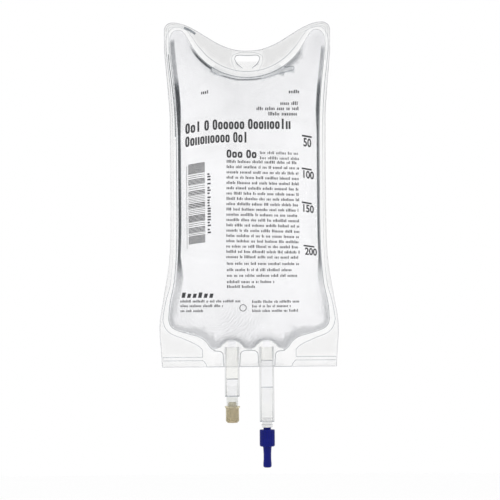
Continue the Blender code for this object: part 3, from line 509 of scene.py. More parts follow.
# %% What each triangle is
points, triangles = sheet.mesh()
centres = points[triangles].mean(1)
in_flap = inside(centres, joined(flap, [(0.0, SLOT_FOOT)]))
in_slot = inside(centres, joined(slot, [(0.0, SLOT_FOOT)])) & ~in_flap
keep = inside(centres, outline_loop) & ~in_slot
triangles, centres, in_flap = triangles[keep], centres[keep], in_flap[keep]
in_pouch = inside(centres, pouch_loop)
strip_loop = np.array([(CELL_SIDE, CELL_FOOT), (beyond_side, CELL_FOOT), strip[0], strip[1]])
skirt_loop = joined(strip[1:], [(beyond_side, beyond_base)], [strip[0]])
welded = (inside(centres, weld_loop) & ~inside(centres, skirt_loop)
          | inside(centres, ring_loop) | inside(centres, strip_loop)) & ~in_pouch
print(len(triangles), "triangles,", int(in_pouch.sum()), "of them over the fluid")

# %% Pressing the film out
THICKNESS = 0.0356           # of the full bag
HEAD = 0.45                  # pressure at the fluid's top, as a share of what depth adds
PILLOW = 0.56                # how steeply the film rises: 0.5 is an ellipse
LOOSE_LIFT = 0.0006
MOUTH_CLEAR = 0.0010         # height over which the film keeps a tube's form above it
LEAD_IN = 0.0080             # length over which it then closes


def pressed_film(points, triangles, free, load):
    """Height of a film stretched over its free points and pressed by the load at each."""
    count = len(points)
    stiff, push = np.zeros((count, count)), np.zeros(count)
    for tri in triangles:
        corners = points[tri]
        edges = np.roll(corners, -2, axis=0) - np.roll(corners, -1, axis=0)
        area = abs(edges[0, 0] * edges[1, 1] - edges[0, 1] * edges[1, 0]) / 2
        stiff[np.ix_(tri, tri)] += edges @ edges.T / (4 * area)
        push[tri] += area / 3 * load[tri]
    height = np.zeros(count)
    height[free] = np.linalg.solve(stiff[np.ix_(free, free)], push[free])
    return height


def corners_of(chosen):
    """Which points belong to any of the chosen triangles."""
    used = np.zeros(len(points), bool)
    used[triangles[chosen].ravel()] = True
    return used


load = HEAD + np.clip((POUCH_HORN_TOP - points[:, 1]) / (POUCH_HORN_TOP - POUCH_SUMP), 0, 1)
free = corners_of(~welded) & ~corners_of(welded) & (distance(points, pouch) > 1e-6)
lift = np.maximum(pressed_film(points, triangles[~welded], free, load), 0.0) ** PILLOW
over_fluid = corners_of(in_pouch)
loose = free & ~over_fluid
fullest = THICKNESS / 2 - FILM - SEAM / 2
height = np.where(over_fluid, fullest * lift / lift[over_fluid].max(), 0.0)
height[loose] = LOOSE_LIFT * lift[loose] / lift[loose].max()

tube_form = PORT_RADIUS + SEAM
across = np.clip(np.abs(points[:, 0] - PORT_X) / tube_form, 0, 1)
above = np.clip((points[:, 1] - PORT_TOP - MOUTH_CLEAR) / LEAD_IN, 0, 1)
channel = tube_form * np.sqrt(1 - across**2) * np.sqrt(1 - above**2)
height = (height**4 + channel**4) ** 0.25
print("film stands", round(height.max() * 1000, 1), "mm off the weld's plane")

# %% [markdown]
# ## Making and shading pieces
#
# One function adds a shader node with its settings and links. Colours are written as sRGB
# hex values, as read from a screen, and turned to the linear values of a render. Soft
# patches of noise keep each finish from looking drawn by a machine.

# %% Nodes and finishes
SMOOTH = {"interpolation_type": "SMOOTHSTEP"}
COLOURS = {"data_type": "RGBA"}


def linear(code):
    """Linear RGBA of an sRGB hex colour."""
    parts = [int(code[i:i + 2], 16) / 255 for i in (0, 2, 4)]
    return (*[p / 12.92 if p <= 0.04045 else ((p + 0.055) / 1.055) ** 2.4 for p in parts], 1.0)


def put(tree, kind, out=0, inputs=(), **settings):
    """Adds a node and gives one of its outputs.

    The inputs are values or other nodes' outputs, in order or under their names.
    """
    made = tree.nodes.new("ShaderNode" + kind)
    for name, value in settings.items():
        setattr(made, name, value)
    for name, value in inputs.items() if isinstance(inputs, dict) else enumerate(inputs):
        if isinstance(value, bpy.types.NodeSocket):
            tree.links.new(value, made.inputs[name])
        else:
            made.inputs[name].default_value = value
    return made.outputs[out] if made.outputs else None


def start_material(name):
    finish = bpy.data.materials.new(name)
    finish.use_nodes = True
    finish.node_tree.nodes.clear()
    return finish, finish.node_tree


def cloud(tree, scale, detail, rough=0.5):
    """Noise with scale cycles to a metre: 250 gives patches of 4 mm."""
    where = put(tree, "TexCoord", "Object")
    return put(tree, "TexNoise", 0, {"Vector": where, "Scale": scale, "Detail": detail,
                                     "Roughness": rough})


def patches(tree, scale, detail, *levels, rough=0.5):
    """Soft patches: the noise between two levels, and the values that it gives there."""
    return put(tree, "MapRange", 0, (cloud(tree, scale, detail, rough), *levels), **SMOOTH)


def skin(tree, scale, detail, height, strength, rough=0.5):
    """Unevenness of a moulded or rolled surface, height in metres."""
    return put(tree, "Bump", 0, {"Height": cloud(tree, scale, detail, rough),
                                 "Distance": height, "Strength": strength})


def solid(name, base, tones, grain, values):
    """An opaque finish: other tones in patches over the base, under a grained skin."""
    finish, tree = start_material(name)
    tone = linear(base)
    for colour, *patch in tones:
        tone = put(tree, "Mix", 2, {0: patches(tree, *patch), 6: tone, 7: linear(colour)},
                   **COLOURS)
    body = put(tree, "BsdfPrincipled", 0, {"Base Color": tone, "Normal": skin(tree, *grain),
                                           **values})
    put(tree, "OutputMaterial", inputs=[body])
    return finish


print("finish helpers ready")


# %% Pieces and other objects
def to_mesh(bm, name):
    mesh = bpy.data.meshes.new(name)
    bm.to_mesh(mesh)
    bm.free()
    return mesh


def new_item(name, data, at=(0.0, 0.0, 0.0)):
    item = bpy.data.objects.new(name, data)
    bpy.context.scene.collection.objects.link(item)
    item.location = at
    return item


def add_piece(name, mesh, finish, stands_for=(), body="bag", at=(0.0, 0.0, 0.0)):
    """A shown piece: it rides on a CAD body and stands for the CAD nodes named."""
    item = new_item(name, mesh, at)
    mesh.materials.append(finish)
    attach(item, body)
    if stands_for:
        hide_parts(*stands_for)
    return item


def baked(item):
    """The item's mesh with its modifiers applied, in the frame of the whole scene."""
    bpy.context.view_layer.update()
    evaluated = item.evaluated_get(bpy.context.evaluated_depsgraph_get())
    mesh = bpy.data.meshes.new_from_object(evaluated)
    mesh.transform(item.matrix_world)
    return mesh


def used_up(item, *others):
    """The item's baked mesh, without a finish; it and its helpers are then removed."""
    mesh = baked(item)
    for used in (item, *others):
        bpy.data.objects.remove(used, do_unlink=True)
    mesh.materials.clear()
    return mesh


def combine(item, other, operation):
    step = item.modifiers.new(other.name, "BOOLEAN")
    step.object, step.operation, step.solver = other, operation, "EXACT"


def write_values(mesh, **named):
    """Numbers on the mesh's points, which a finish reads through an Attribute node."""
    for name, values in named.items():
        made = mesh.attributes.new(name, "FLOAT", "POINT")
        made.data.foreach_set("value", np.asarray(values, np.float32))


print("piece helpers ready")

# %% [markdown]
# ## Clear film
#
# Flexible PVC sheet, rolled: clear with a faint grey tint, glossy and a little wavy. Where
# fluid wets it the two indices nearly match, so the film almost vanishes; in the dry
# margins each sheet greys what is behind it. A value on each point says how dry it is.
# The clear part is a Transparent shader, not glass, so that lamps and the white ground
# pass, and Fresnel gives the gloss. A Solidify modifier gives the film its thickness.

# %% Film finish
PVC_IOR = 1.53
MOST_GLOSS = 0.06            # the gloss is held to this at a glancing angle
DRY_TINT = linear("f8f8f8")
WET_TINT = linear("fefefe")
# Painted shade: the film's grey over the air pocket.
AIR_SHADE_TINT = linear("e6e7e8")


def film_material():
    """Rolled film: cloudy patches of 17 mm and waves of 11 mm, as a full bag shows."""
    finish, tree = start_material("clear_pvc_film_glossy")
    dry = put(tree, "Attribute", "Fac", attribute_name="dry")
    tint = put(tree, "Mix", 2, {0: dry, 6: WET_TINT, 7: DRY_TINT}, **COLOURS)
    cloudy = patches(tree, 60.0, 3.0, 0.45, 0.75, 0.0, 0.14)
    tint = put(tree, "Mix", 2, {0: cloudy, 6: tint, 7: DRY_TINT}, **COLOURS)
    # Painted shade: the film is tinted grey where the air pocket lies behind it.
    air = put(tree, "Attribute", "Fac", attribute_name="air")
    tint = put(tree, "Mix", 2, {0: air, 6: tint, 7: AIR_SHADE_TINT}, **COLOURS)
    clear = put(tree, "BsdfTransparent", inputs=[tint])
    waves = skin(tree, 90.0, 2.0, 0.0006, 0.35)
    gloss = put(tree, "BsdfGlossy", 0, {"Color": linear("ffffff"), "Roughness": 0.09,
                                        "Normal": waves})
    edge = put(tree, "Fresnel", 0, {"IOR": PVC_IOR, "Normal": waves})
    share = put(tree, "Math", 0, (edge, MOST_GLOSS), operation="MINIMUM")
    both = put(tree, "MixShader", 0, (share, clear, gloss))
    put(tree, "OutputMaterial", inputs=[both])
    return finish


clear_film = film_material()
print("film mirrors at most", MOST_GLOSS)

# %% Two sheets
WELD_DRYNESS = 0.50


def leaned(point):
    """Where a point of the flap goes as the flap leans back about the slot's foot."""
    x, y, z = point
    rise = z - SLOT_FOOT
    arm = FLAP_BEND - y
    turn = min(rise / FLAP_BEND, FLAP_LEAN)
    straight = rise - FLAP_BEND * turn
    return (x, FLAP_BEND - arm * math.cos(turn) + straight * math.sin(turn),
            arm * math.sin(turn) + straight * math.cos(turn) + SLOT_FOOT)


def film_surface(chosen, side, place):
    """The chosen triangles as faces that look outwards: side is -1 towards -Y, else 1."""
    bm = bmesh.new()
    verts = {i: bm.verts.new(place(i)) for i in sorted(set(triangles[chosen].ravel()))}
    for tri in triangles[chosen]:
        bm.faces.new([verts[i] for i in tri])
    bm.normal_update()
    if sum(f.normal.y * f.calc_area() for f in bm.faces) * side < 0:
        bmesh.ops.reverse_faces(bm, faces=bm.faces)
    bm.normal_update()
    return bm


def dryness(co):
    """1 where the sheets hang loose, a little in the welds and 0 where fluid wets them."""
    value = np.where(over_fluid, 0.0, np.where(loose, 1.0, WELD_DRYNESS))
    at = np.column_stack([np.abs(co[:, 0]), co[:, 2]])
    nearest = [np.linalg.norm(points - p, axis=1).argmin() for p in at]
    on_tube = (np.abs(at[:, 0] - PORT_X) < 1.1 * PORT_RADIUS) & (at[:, 1] < ARCH_TOP)
    low = np.interp(-at[:, 1], [0.020, 0.060, 0.120, 0.150], [1.0, 0.60, 0.60, 0.42])
    return value[nearest] * low * ~on_tube


def air_values(co):
    """Painted shade on the film where the air pocket lies behind it, 0 outside the pocket."""
    at = co[:, [0, 2]]
    below_arc = np.hypot(at[:, 0], at[:, 1] - ARC_LEVEL) >= POUCH_ARC - 1e-5
    value = (inside(at, AIR_LOOP) & below_arc).astype(float)
    return value * np.interp(at[:, 0], [BUBBLE_LEFT, -0.006, 0.010, BUBBLE_RIGHT],
                             [0.7, 0.35, 0.45, 1.0])


def film(name, side, node):
    flap_points = set(triangles[in_flap].ravel()) - set(triangles[~in_flap].ravel())

    def place(i):
        spot = (points[i, 0], side * (SEAM / 2 + height[i]), points[i, 1])
        return leaned(spot) if i in flap_points else spot

    item = new_item(name + "_half", to_mesh(film_surface(slice(None), side, place), name))
    mirror = item.modifiers.new("other_half", "MIRROR")
    mirror.merge_threshold = 1e-6
    wall = item.modifiers.new("film", "SOLIDIFY")
    wall.thickness = FILM
    wall.offset = 1.0
    mesh = used_up(item)
    mesh.shade_smooth()
    co = np.array([v.co for v in mesh.vertices])
    write_values(mesh, dry=dryness(co), air=air_values(co))
    return add_piece(name, mesh, clear_film, [node])


front_sheet = film("front_sheet", -1, "front_film")
rear_sheet = film("rear_sheet", 1, "rear_film")
print(front_sheet.name, rear_sheet.name, len(front_sheet.data.polygons), "faces each")

# %% [markdown]
# ## The fluid
#
# Salt water with an index of 1.33. Near the weld the fluid is a steep lens that throws
# the look of the room beside the bag forward as a dark line, and round the bottom it
# shows the floor. The stage here is white all round, so those tones are painted shade:
# values on the mesh from the distance to the weld. Air left under the arc is cut away.

# %% Where shade is painted into the fluid
FOOT_STEPS = (0.0, 0.0006, 0.0012, 0.0040, 0.0056)   # distances from the weld
FOOT_LINE = (0.02, 0.09, 0.24, 0.20, 0.0)            # painted shade: the grey band round the bottom
ARCH_LINE = (0.27, 0.27, 0.27, 0.05, 0.0)            # and over the port tubes
SIDE_NARROWING = 1.8         # how much narrower the band is where it turns up the sides
LINE_LEVELS = (-0.0095, -0.0080, 0.012, 0.0185, 0.045, 0.100, 0.114, 0.122, 0.130, 0.140,
               0.150)
LINE_SHARES = (0.0, 0.42, 0.36, 0.97, 1.0, 1.0, 0.85, 0.36, 0.20, 0.08, 0.0)
LINE_TOP_GAP = 0.0046        # how much lower the right line starts
ARC_HALF = 0.034             # half the width over which the arc has tones of its own
ARC_FOOT = -0.010            # and the level down to which it has them
CREASE_REACH = 0.0040        # how far below the arc the painted shade of its creases reaches


def along_arc(x, z):
    return (np.abs(x) < ARC_HALF) & (z > ARC_FOOT)


def dark_line(x, z, off):
    """The dark line of painted shade by the weld: the place across it, 0 to 1, and its
    strength.
    """
    left = x < 0
    high = np.interp(-z, [0.030, 0.044], [1.0, 0.0])
    low = np.interp(-z, [0.112, 0.124], [0.0, 1.0])
    start = np.where(left, 0.0010 - 0.0004 * high, 0.0001)
    end = (np.where(left, 0.0023 + 0.0005 * high, 0.0013 + 0.0007 * high)
           + np.where(left, 0.0022, 0.0014) * low)
    outer_side = np.abs(x) > np.interp(-z, [-0.010, 0.010], [0.0388, 0.034])
    from_top = -z - np.where((x > 0) & (z > -0.004), LINE_TOP_GAP, 0.0)
    share = outer_side * np.interp(from_top, LINE_LEVELS, LINE_SHARES)
    on_arc = along_arc(x, z)
    arc_share = np.interp(x, [-0.032, -0.028, -0.021, -0.019], [0.0, 0.75, 0.75, 0.0])
    share = np.where(on_arc, arc_share, share)
    start = np.where(on_arc, 0.0001, start)
    end = np.where(on_arc, 0.0014, end)
    weaker = np.where(left, 1.0, 0.85 - 0.25 * low)
    return np.clip((off - start) / (end - start), -2.0, 4.0), share * weaker


def soft_shade(x, z, off):
    """Painted shade of the fluid elsewhere: the foot, the creases below the arc, the ends."""
    over_port = np.interp(np.abs(np.abs(x) - PORT_X), [0.0065, 0.0085], [1.0, 0.0])
    narrowing = np.interp(np.abs(x), [0.030, 0.041], [1.0, SIDE_NARROWING])
    by_foot = (over_port * np.interp(off, FOOT_STEPS, ARCH_LINE)
               + (1 - over_port) * np.interp(off * narrowing, FOOT_STEPS, FOOT_LINE))
    by_foot = by_foot * np.interp(-z, [0.130, 0.148], [0.0, 1.0])
    arc_gap = POUCH_ARC - np.hypot(x, z - ARC_LEVEL)
    near_arc = np.clip(1.5 * (1 + arc_gap / CREASE_REACH), 0, 1) * along_arc(x, z)
    crease_shade = near_arc * np.interp(x, [-0.030, -0.020, 0.018, 0.023, 0.029, 0.032],
                                  [0.05, 0.15, 0.15, 0.40, 0.40, 0.0])
    low = np.interp(-z, [0.118, 0.158], [0.0, 0.035])
    high = np.interp(-z, [-0.012, 0.000, 0.060], [0.08, 0.07, 0.0])
    return np.clip(np.maximum(by_foot, crease_shade) + low + high, 0, 1)


print("dark line runs from", LINE_LEVELS[0], "to", LINE_LEVELS[-1], "m below the hook")

# %% Fluid finish
WATER_IOR = 1.333
WATER_TINT = linear("fdfdfe")
PAINTED_RIM_TINT = linear("666c72")
RIPPLE_CENTRE = (-0.0180, 0.0, -0.1400)
RIPPLE_SCALE = 200.0         # a ripple every 1.6 mm
RIPPLE_SHADE = 0.11


def water_material():
    """Still water: clear, with painted shade in a dark rim and in ripples where the film is
    creased.
    """
    finish, tree = start_material("salt_water_clear")
    across = put(tree, "Attribute", "Fac", attribute_name="line_place")
    rises = put(tree, "MapRange", 0, (across, -0.20, 0.15), **SMOOTH)
    falls = put(tree, "MapRange", 0, (across, 0.85, 1.25, 1.0, 0.0), **SMOOTH)
    line = put(tree, "Math", 0, (rises, falls), operation="MULTIPLY")
    share = put(tree, "Attribute", "Fac", attribute_name="line_share")
    rim = put(tree, "Attribute", "Fac", attribute_name="rim")
    rim = put(tree, "Math", 0, (line, share, rim), operation="MULTIPLY_ADD")
    streaks = patches(tree, 620.0, 3.0, 0.30, 0.70, 0.82, 1.08, rough=0.6)
    rim = put(tree, "Math", 0, (rim, streaks), operation="MULTIPLY")

    where = put(tree, "TexCoord", "Object")
    from_port = put(tree, "VectorMath", 0, (where, RIPPLE_CENTRE), operation="SUBTRACT")
    ripples = put(tree, "TexWave", "Fac", {
        "Vector": from_port, "Scale": RIPPLE_SCALE, "Distortion": 9.0, "Detail": 2.0,
        "Detail Scale": 1.2}, wave_type="RINGS", rings_direction="Y")
    level = put(tree, "SeparateXYZ", "Z", [where])
    low = put(tree, "MapRange", 0, (level, -0.150, -0.128, RIPPLE_SHADE, 0.0), **SMOOTH)
    low = put(tree, "Math", 0, (low, patches(tree, 55.0, 1.0, 0.40, 0.65)),
              operation="MULTIPLY")
    swirls = patches(tree, 38.0, 2.0, 0.56, 0.74, 0.0, 0.035, rough=0.4)
    marks = put(tree, "Math", 0, (ripples, low, swirls), operation="MULTIPLY_ADD")
    in_bag = put(tree, "MapRange", 0, (level, -0.1655, -0.1635), **SMOOTH)
    shade = put(tree, "Math", 0, (marks, in_bag, rim), operation="MULTIPLY_ADD",
                use_clamp=True)

    # The tint carries painted shade: the dark rim, the ripples and the swirls.
    tint = put(tree, "Mix", 2, {0: shade, 6: WATER_TINT, 7: PAINTED_RIM_TINT}, **COLOURS)
    lens = put(tree, "BsdfPrincipled", 0, {
        "Base Color": tint, "Roughness": 0.0, "IOR": WATER_IOR, "Transmission Weight": 1.0,
        "Normal": skin(tree, 26.0, 1.0, 0.004, 0.25)})
    clear = put(tree, "BsdfTransparent", inputs=[tint])
    bend = put(tree, "Attribute", "Fac", attribute_name="bend")
    straight = put(tree, "Math", 0, (1.0, bend), operation="SUBTRACT")
    share = put(tree, "Math", 0, (put(tree, "LightPath", "Is Shadow Ray"), straight),
                operation="MAXIMUM")
    both = put(tree, "MixShader", 0, (share, lens, clear))
    put(tree, "OutputMaterial", inputs=[both])
    return finish


salt_water = water_material()
print("water's index is", WATER_IOR)

# %% [markdown]
# ## The fluid's mesh
#
# A quarter of the pouch is mirrored twice, and the bores of the ports are turned round
# their axes and joined to it. Sizes of the ports are named here, where they first count.

# %% Sizes of the ports
PORT_WALL = 0.0006
FIT = 0.00025                # radial clearance of one piece inside the next
TUBE_BORE = PORT_RADIUS - PORT_WALL
INNER_RADIUS = TUBE_BORE - FIT
SLEEVE_WALL = 0.0008
INJECTION_TUBE = 0.0277
INJECTION_SLEEVE = 0.0176
NECK_LENGTH = 0.0122
NECK_OUT = 0.0061            # how far the neck stands out of its tube
NECK_FOOT = INJECTION_TUBE + NECK_OUT
NECK_WALL = 0.0006
PLUG_STEM = 0.0030
OUTLET_TUBE = 0.0419
OUTLET_SLEEVE = 0.0073
SPIKE_TUBE_TOP = 0.0226      # depth below the port's top at which the spike tube starts
SPIKE_TUBE_OUT = 0.0032
SPIKE_FOOT = OUTLET_TUBE + SPIKE_TUBE_OUT
SPIKE_WALL = 0.0008
MEMBRANE_DEPTH = 0.0314      # depth of the web that the spike pierces
TURN_STEPS = 96


def profile_mesh(name, profile, closed=False):
    """Edges of a turning profile, given as (radius, height) down its outer side."""
    mesh = bpy.data.meshes.new(name)
    count = len(profile)
    edges = [(i, (i + 1) % count) for i in range(count if closed else count - 1)]
    mesh.from_pydata([(r, 0.0, z) for r, z in profile], edges, [])
    return mesh


def screw(item):
    turn = item.modifiers.new("turned", "SCREW")
    turn.axis = "Z"
    turn.angle = 2 * math.pi
    turn.steps = TURN_STEPS
    turn.render_steps = TURN_STEPS
    turn.use_merge_vertices = True
    turn.merge_threshold = 1e-6
    turn.use_smooth_shade = True
    return item


print("ports reach", round(SPIKE_FOOT * 1000, 1), "mm below their tops")

# %% Pouch, air and bores
FLUID_BITE = 0.00010         # how far the fluid reaches into the film, so that it looks wet
LENS_SHARE = 0.22            # share of light that the fluid bends: the rest goes straight


def air_block():
    bm = bmesh.new()
    face = bm.faces.new([bm.verts.new((x, -THICKNESS, z)) for x, z in AIR_LOOP])
    made = bmesh.ops.extrude_face_region(bm, geom=[face])
    moved = [v for v in made["geom"] if isinstance(v, bmesh.types.BMVert)]
    bmesh.ops.translate(bm, verts=moved, vec=(0.0, 2 * THICKNESS, 0.0))
    bmesh.ops.recalc_face_normals(bm, faces=bm.faces)
    return new_item("air", to_mesh(bm, "air"))


def water_quarter():
    facing = normals(pouch)
    bm = film_surface(in_pouch, -1, lambda i: (points[i, 0], -height[i], points[i, 1]))
    for vert in list(bm.verts):
        at = np.array([vert.co.x, vert.co.z])
        near = np.linalg.norm(pouch - at, axis=1)
        if near.min() < 1e-6:
            inward = -facing[near.argmin()]
            spot = (at[0] + SEAM * inward[0], 0.0, at[1] + SEAM * inward[1])
        else:
            spot = vert.co + vert.normal * (SEAM / 2 + FLUID_BITE)
        vert.co = (spot[0] if at[0] > 1e-6 else 0.0, spot[1], spot[2])
    return to_mesh(bm, "water")


def fluid_column(name, x, bores):
    """Fluid in a port, whose bores are steps of radius and depth."""
    start = ARCH_CLEAR + 0.5 * LEAD_IN
    profile = [(0.0, start), (bores[0][0] - FIT, start)]
    for (bore, end), after in zip(bores, bores[1:] + [(0.0, 0.0)]):
        level = -end + (SEAM if after[0] < bore else -SEAM)
        profile += [(bore - FIT, level), (max(after[0] - FIT, 0.0), level)]
    return screw(new_item(name, profile_mesh(name, profile), (x, 0.0, PORT_TOP)))


item = new_item("water", water_quarter())
mirror = item.modifiers.new("other_quarters", "MIRROR")
mirror.use_axis = (True, True, False)
mirror.merge_threshold = 1e-5
air = air_block()
combine(item, air, "DIFFERENCE")
sleeve_bore = INNER_RADIUS - SLEEVE_WALL
columns = [
    fluid_column("injection_column", -PORT_X, [
        (sleeve_bore, SEAM + INJECTION_SLEEVE), (TUBE_BORE, NECK_FOOT - NECK_LENGTH),
        (INNER_RADIUS - NECK_WALL, NECK_FOOT - PLUG_STEM)]),
    fluid_column("outlet_column", PORT_X, [
        (sleeve_bore, SEAM + OUTLET_SLEEVE), (TUBE_BORE, SPIKE_TUBE_TOP),
        (INNER_RADIUS - SPIKE_WALL, MEMBRANE_DEPTH)]),
]
for column in columns:
    combine(item, column, "UNION")
mesh = used_up(item, air, *columns)
mesh.shade_smooth()
print("fluid", len(mesh.vertices), "points")

# %% Shading the fluid
BORE_MARGIN = 0.0015         # height above the arch to which a bore's fluid reaches
BEND_FROM = 1.4              # place across the dark line from which light is bent
RIM_HOLDS = 2.5              # how fast a darker rim ends the bending
x, y, z = np.array([v.co for v in mesh.vertices]).T
off = distance(np.column_stack([np.abs(x), z]), POUCH_EDGE)
off_axis = np.hypot(np.abs(x) - PORT_X, y)
in_bore = (z < POUCH_SUMP) | (off_axis < TUBE_BORE) & (z < ARCH_TOP + BORE_MARGIN)
rim = np.where(in_bore, 0.0, soft_shade(x, z, off))
place, share = dark_line(x, z, off)
beside = np.where(share > 0, np.clip(place - BEND_FROM, 0, 1), 1.0)
bend = LENS_SHARE * np.clip(1 - RIM_HOLDS * rim, 0, 1) * beside
write_values(mesh, rim=rim, line_place=place, line_share=np.where(in_bore, 0.0, share),
             bend=np.where(in_bore | (z < ARCH_TOP), 0.0, bend))
add_piece("fluid_body", mesh, salt_water, ["saline_fill"])
print("darkest share of the fluid's rim", round(float(rim.max()), 2))

# %% [markdown]
# ## Port tubes and what they hold
#
# Each piece is turned round an axis, so it is a profile and a Screw modifier, which stays
# editable where a ready-made cylinder would not. The outer tubes are extruded, milky PVC
# over a cream sleeve. Clear plastic greys at its outline, where one looks along its wall;
# that grey is painted shade, drawn only for the eye's own rays, so that the piece doesn't
# darken its shadow.

# %% Clear plastics
PATCH_DARK = 0.82            # how dark the patches are beside the rest
FADE = 0.0004                # height over which an outline fades inside a tube
MILKY_FADE = 0.0006          # and over which a piece turns milky


def clear_plastic(name, colour, roughness, clear, tint, outline, milky_below=None,
                  milky_clear=0.35, bare_below=None):
    """Extruded or moulded plastic: clear is the share of light that passes straight.

    Levels are from the piece's own origin. Below milky_below less light passes, and above
    bare_below the piece sits in a tube of its own index, where its outline fades.
    """
    finish, tree = start_material(name)
    colour = linear(colour)
    tone = put(tree, "Mix", 2, {0: patches(tree, 260.0, 4.0, 0.35, 0.70, 0.0, 0.08), 6: colour,
                                7: (*[v * PATCH_DARK for v in colour[:3]], 1.0)}, **COLOURS)
    rough = patches(tree, 500.0, 3.0, 0.2, 0.8, roughness * 0.85, roughness * 1.15)
    body = put(tree, "BsdfPrincipled", 0, {
        "Base Color": tone, "Roughness": rough, "IOR": 1.50,
        "Normal": skin(tree, 900.0, 4.0, 0.00002, 0.5, 0.6)})
    # Painted shade: a grey outline where the wall is seen edge on, for the eye's rays only.
    facing = put(tree, "LayerWeight", "Facing", [0.35])
    rim = put(tree, "MapRange", 0, (facing, 0.45, 0.80), **SMOOTH)
    lit = put(tree, "Math", 0, (put(tree, "LightPath", "Is Shadow Ray"),
                                put(tree, "LightPath", "Is Diffuse Ray")),
              operation="ADD", use_clamp=True)
    eye = put(tree, "Math", 0, (1.0, lit), operation="SUBTRACT")
    rim = put(tree, "Math", 0, (rim, eye), operation="MULTIPLY")
    level = put(tree, "SeparateXYZ", "Z", [put(tree, "TexCoord", "Object")])
    edge = linear(outline)
    if bare_below:
        within = put(tree, "MapRange", 0, (level, bare_below, bare_below + FADE), **SMOOTH)
        edge = put(tree, "Mix", 2, {0: within, 6: edge, 7: linear("f4f5f5")}, **COLOURS)
    seen = put(tree, "Mix", 2, {0: rim, 6: linear(tint), 7: edge}, **COLOURS)
    through = put(tree, "BsdfTransparent", inputs=[seen])
    if milky_below:
        clear = put(tree, "MapRange", 0, (level, milky_below - MILKY_FADE, milky_below,
                                          milky_clear, clear), **SMOOTH)
    both = put(tree, "MixShader", 0, (clear, body, through))
    put(tree, "OutputMaterial", inputs=[both])
    return finish


# Extruded tube: a milky haze over what it holds, and a grey outline of painted shade.
milky = clear_plastic("milky_pvc_tube_satin", "fafaf8", 0.22, 0.93, "fdfdfd", "9ca1a5")
# Extruded sleeve: only a warm cast, as it is seen through the tube and its fluid.
cream = clear_plastic("cream_pvc_sleeve_satin", "fefdf6", 0.35, 0.991, "fffffe", "f9f9f6")
# Moulded hard plastic: glassy, and faintly green where it stands clear of the tube.
neck_clear = clear_plastic("clear_polycarbonate_neck", "dfe1da", 0.10, 0.985, "fefefe",
                           "a8adac", -INJECTION_TUBE, 0.80, -INJECTION_TUBE)
# Extruded and cut: clear inside the tube, hazier at the end that was cut and pressed.
spike_clear = clear_plastic("clear_pvc_spike_tube", "fcfcfb", 0.16, 0.975, "fefefe",
                            "a4a9ac", -(OUTLET_TUBE - 0.0023), bare_below=-OUTLET_TUBE)
# Shrunk on with heat: yellowed, and less clear than the rest.
band_clear = clear_plastic("clear_shrink_band", "e4dfcf", 0.18, 0.80, "f8f5ea", "cfc8b4")
print("clear plastics ready")

# %% Plain tubes
def turned(name, profile, closed, x, finish, stands_for=()):
    item = add_piece(name, profile_mesh(name, profile, closed), finish, stands_for,
                     at=(x, 0.0, PORT_TOP))
    return screw(item)


def tube(name, radius, wall, top, length, x, finish, node):
    """Plain tube from depth top down, its outer edges eased."""
    ease, bore, foot = 0.25 * wall, radius - wall, -top - length
    turned(name, [(radius - ease, -top), (radius, -top - ease), (radius, foot + ease),
                  (radius - ease, foot), (bore, foot), (bore, -top)],
           True, x, finish, [node])
    print(name, round(length * 1000, 1), "mm long")


tube("injection_tube", PORT_RADIUS, PORT_WALL, 0.0, INJECTION_TUBE, -PORT_X, milky,
     "injection_port_tube")
tube("injection_liner", INNER_RADIUS, SLEEVE_WALL, SEAM, INJECTION_SLEEVE, -PORT_X, cream,
     "injection_sleeve")
tube("injection_collar", INNER_RADIUS, NECK_WALL, NECK_FOOT - NECK_LENGTH, NECK_LENGTH,
     -PORT_X, neck_clear, "injection_neck")

# %% Rubber plug and its band
PLUG_LENGTH = 0.0083
PLUG_RADIUS = 0.00315
PLUG_ROUND = 0.0008
BAND_WALL = 0.0003
LIP_RADIUS = 0.0043
LIP_RISE = 0.0010


def quarter_round(radius, level, ease, start, steps=8):
    """Points round an outer corner at this radius and level, clockwise from start degrees."""
    angles = [math.radians(start - 90 * i / steps) for i in range(steps + 1)]
    return [(radius - ease + ease * math.cos(a), level + ease * math.sin(a)) for a in angles]


# Moulded rubber: matte, mottled, with a faint bloom of powder in specks of half a millimetre.
tan_rubber = solid("tan_rubber_matte", "9c9068", [("ad9f84", 160.0, 5.0, 0.35, 0.68),
                                                 ("c6baa0", 1800.0, 3.0, 0.62, 0.80, 0.0, 0.5)],
                   (1500.0, 5.0, 0.00005, 0.6), {"Roughness": 0.62, "IOR": 1.52})
stem = INNER_RADIUS - NECK_WALL - FIT
shoulder = -NECK_FOOT - SEAM
foot = shoulder - PLUG_LENGTH
turned("rubber_plug", [
    (0.0, shoulder + SEAM + PLUG_STEM), (0.86 * stem, shoulder + SEAM + PLUG_STEM),
    (stem, shoulder + 0.88 * PLUG_STEM), (stem, shoulder), (PLUG_RADIUS, shoulder),
    *quarter_round(PLUG_RADIUS, foot + PLUG_ROUND, PLUG_ROUND, 0), (0.0, foot),
], False, -PORT_X, tan_rubber, ["injection_plug"])
inner = PLUG_RADIUS + FIT
outer = inner + BAND_WALL
turned("plug_collar", [
    (LIP_RADIUS, shoulder + LIP_RISE),
    (LIP_RADIUS - 0.35 * BAND_WALL, shoulder + 0.55 * LIP_RISE),
    (outer + 0.45 * (LIP_RADIUS - outer), shoulder - 0.1 * BAND_WALL),
    (outer, shoulder - BAND_WALL), (outer, foot + PLUG_ROUND), (inner, foot + PLUG_ROUND),
    (inner, shoulder), (outer, shoulder + 0.75 * BAND_WALL),
    (LIP_RADIUS - 1.6 * BAND_WALL, shoulder + 0.70 * LIP_RISE),
    (LIP_RADIUS - 0.9 * BAND_WALL, shoulder + LIP_RISE),
], True, -PORT_X, band_clear, ["plug_band"])
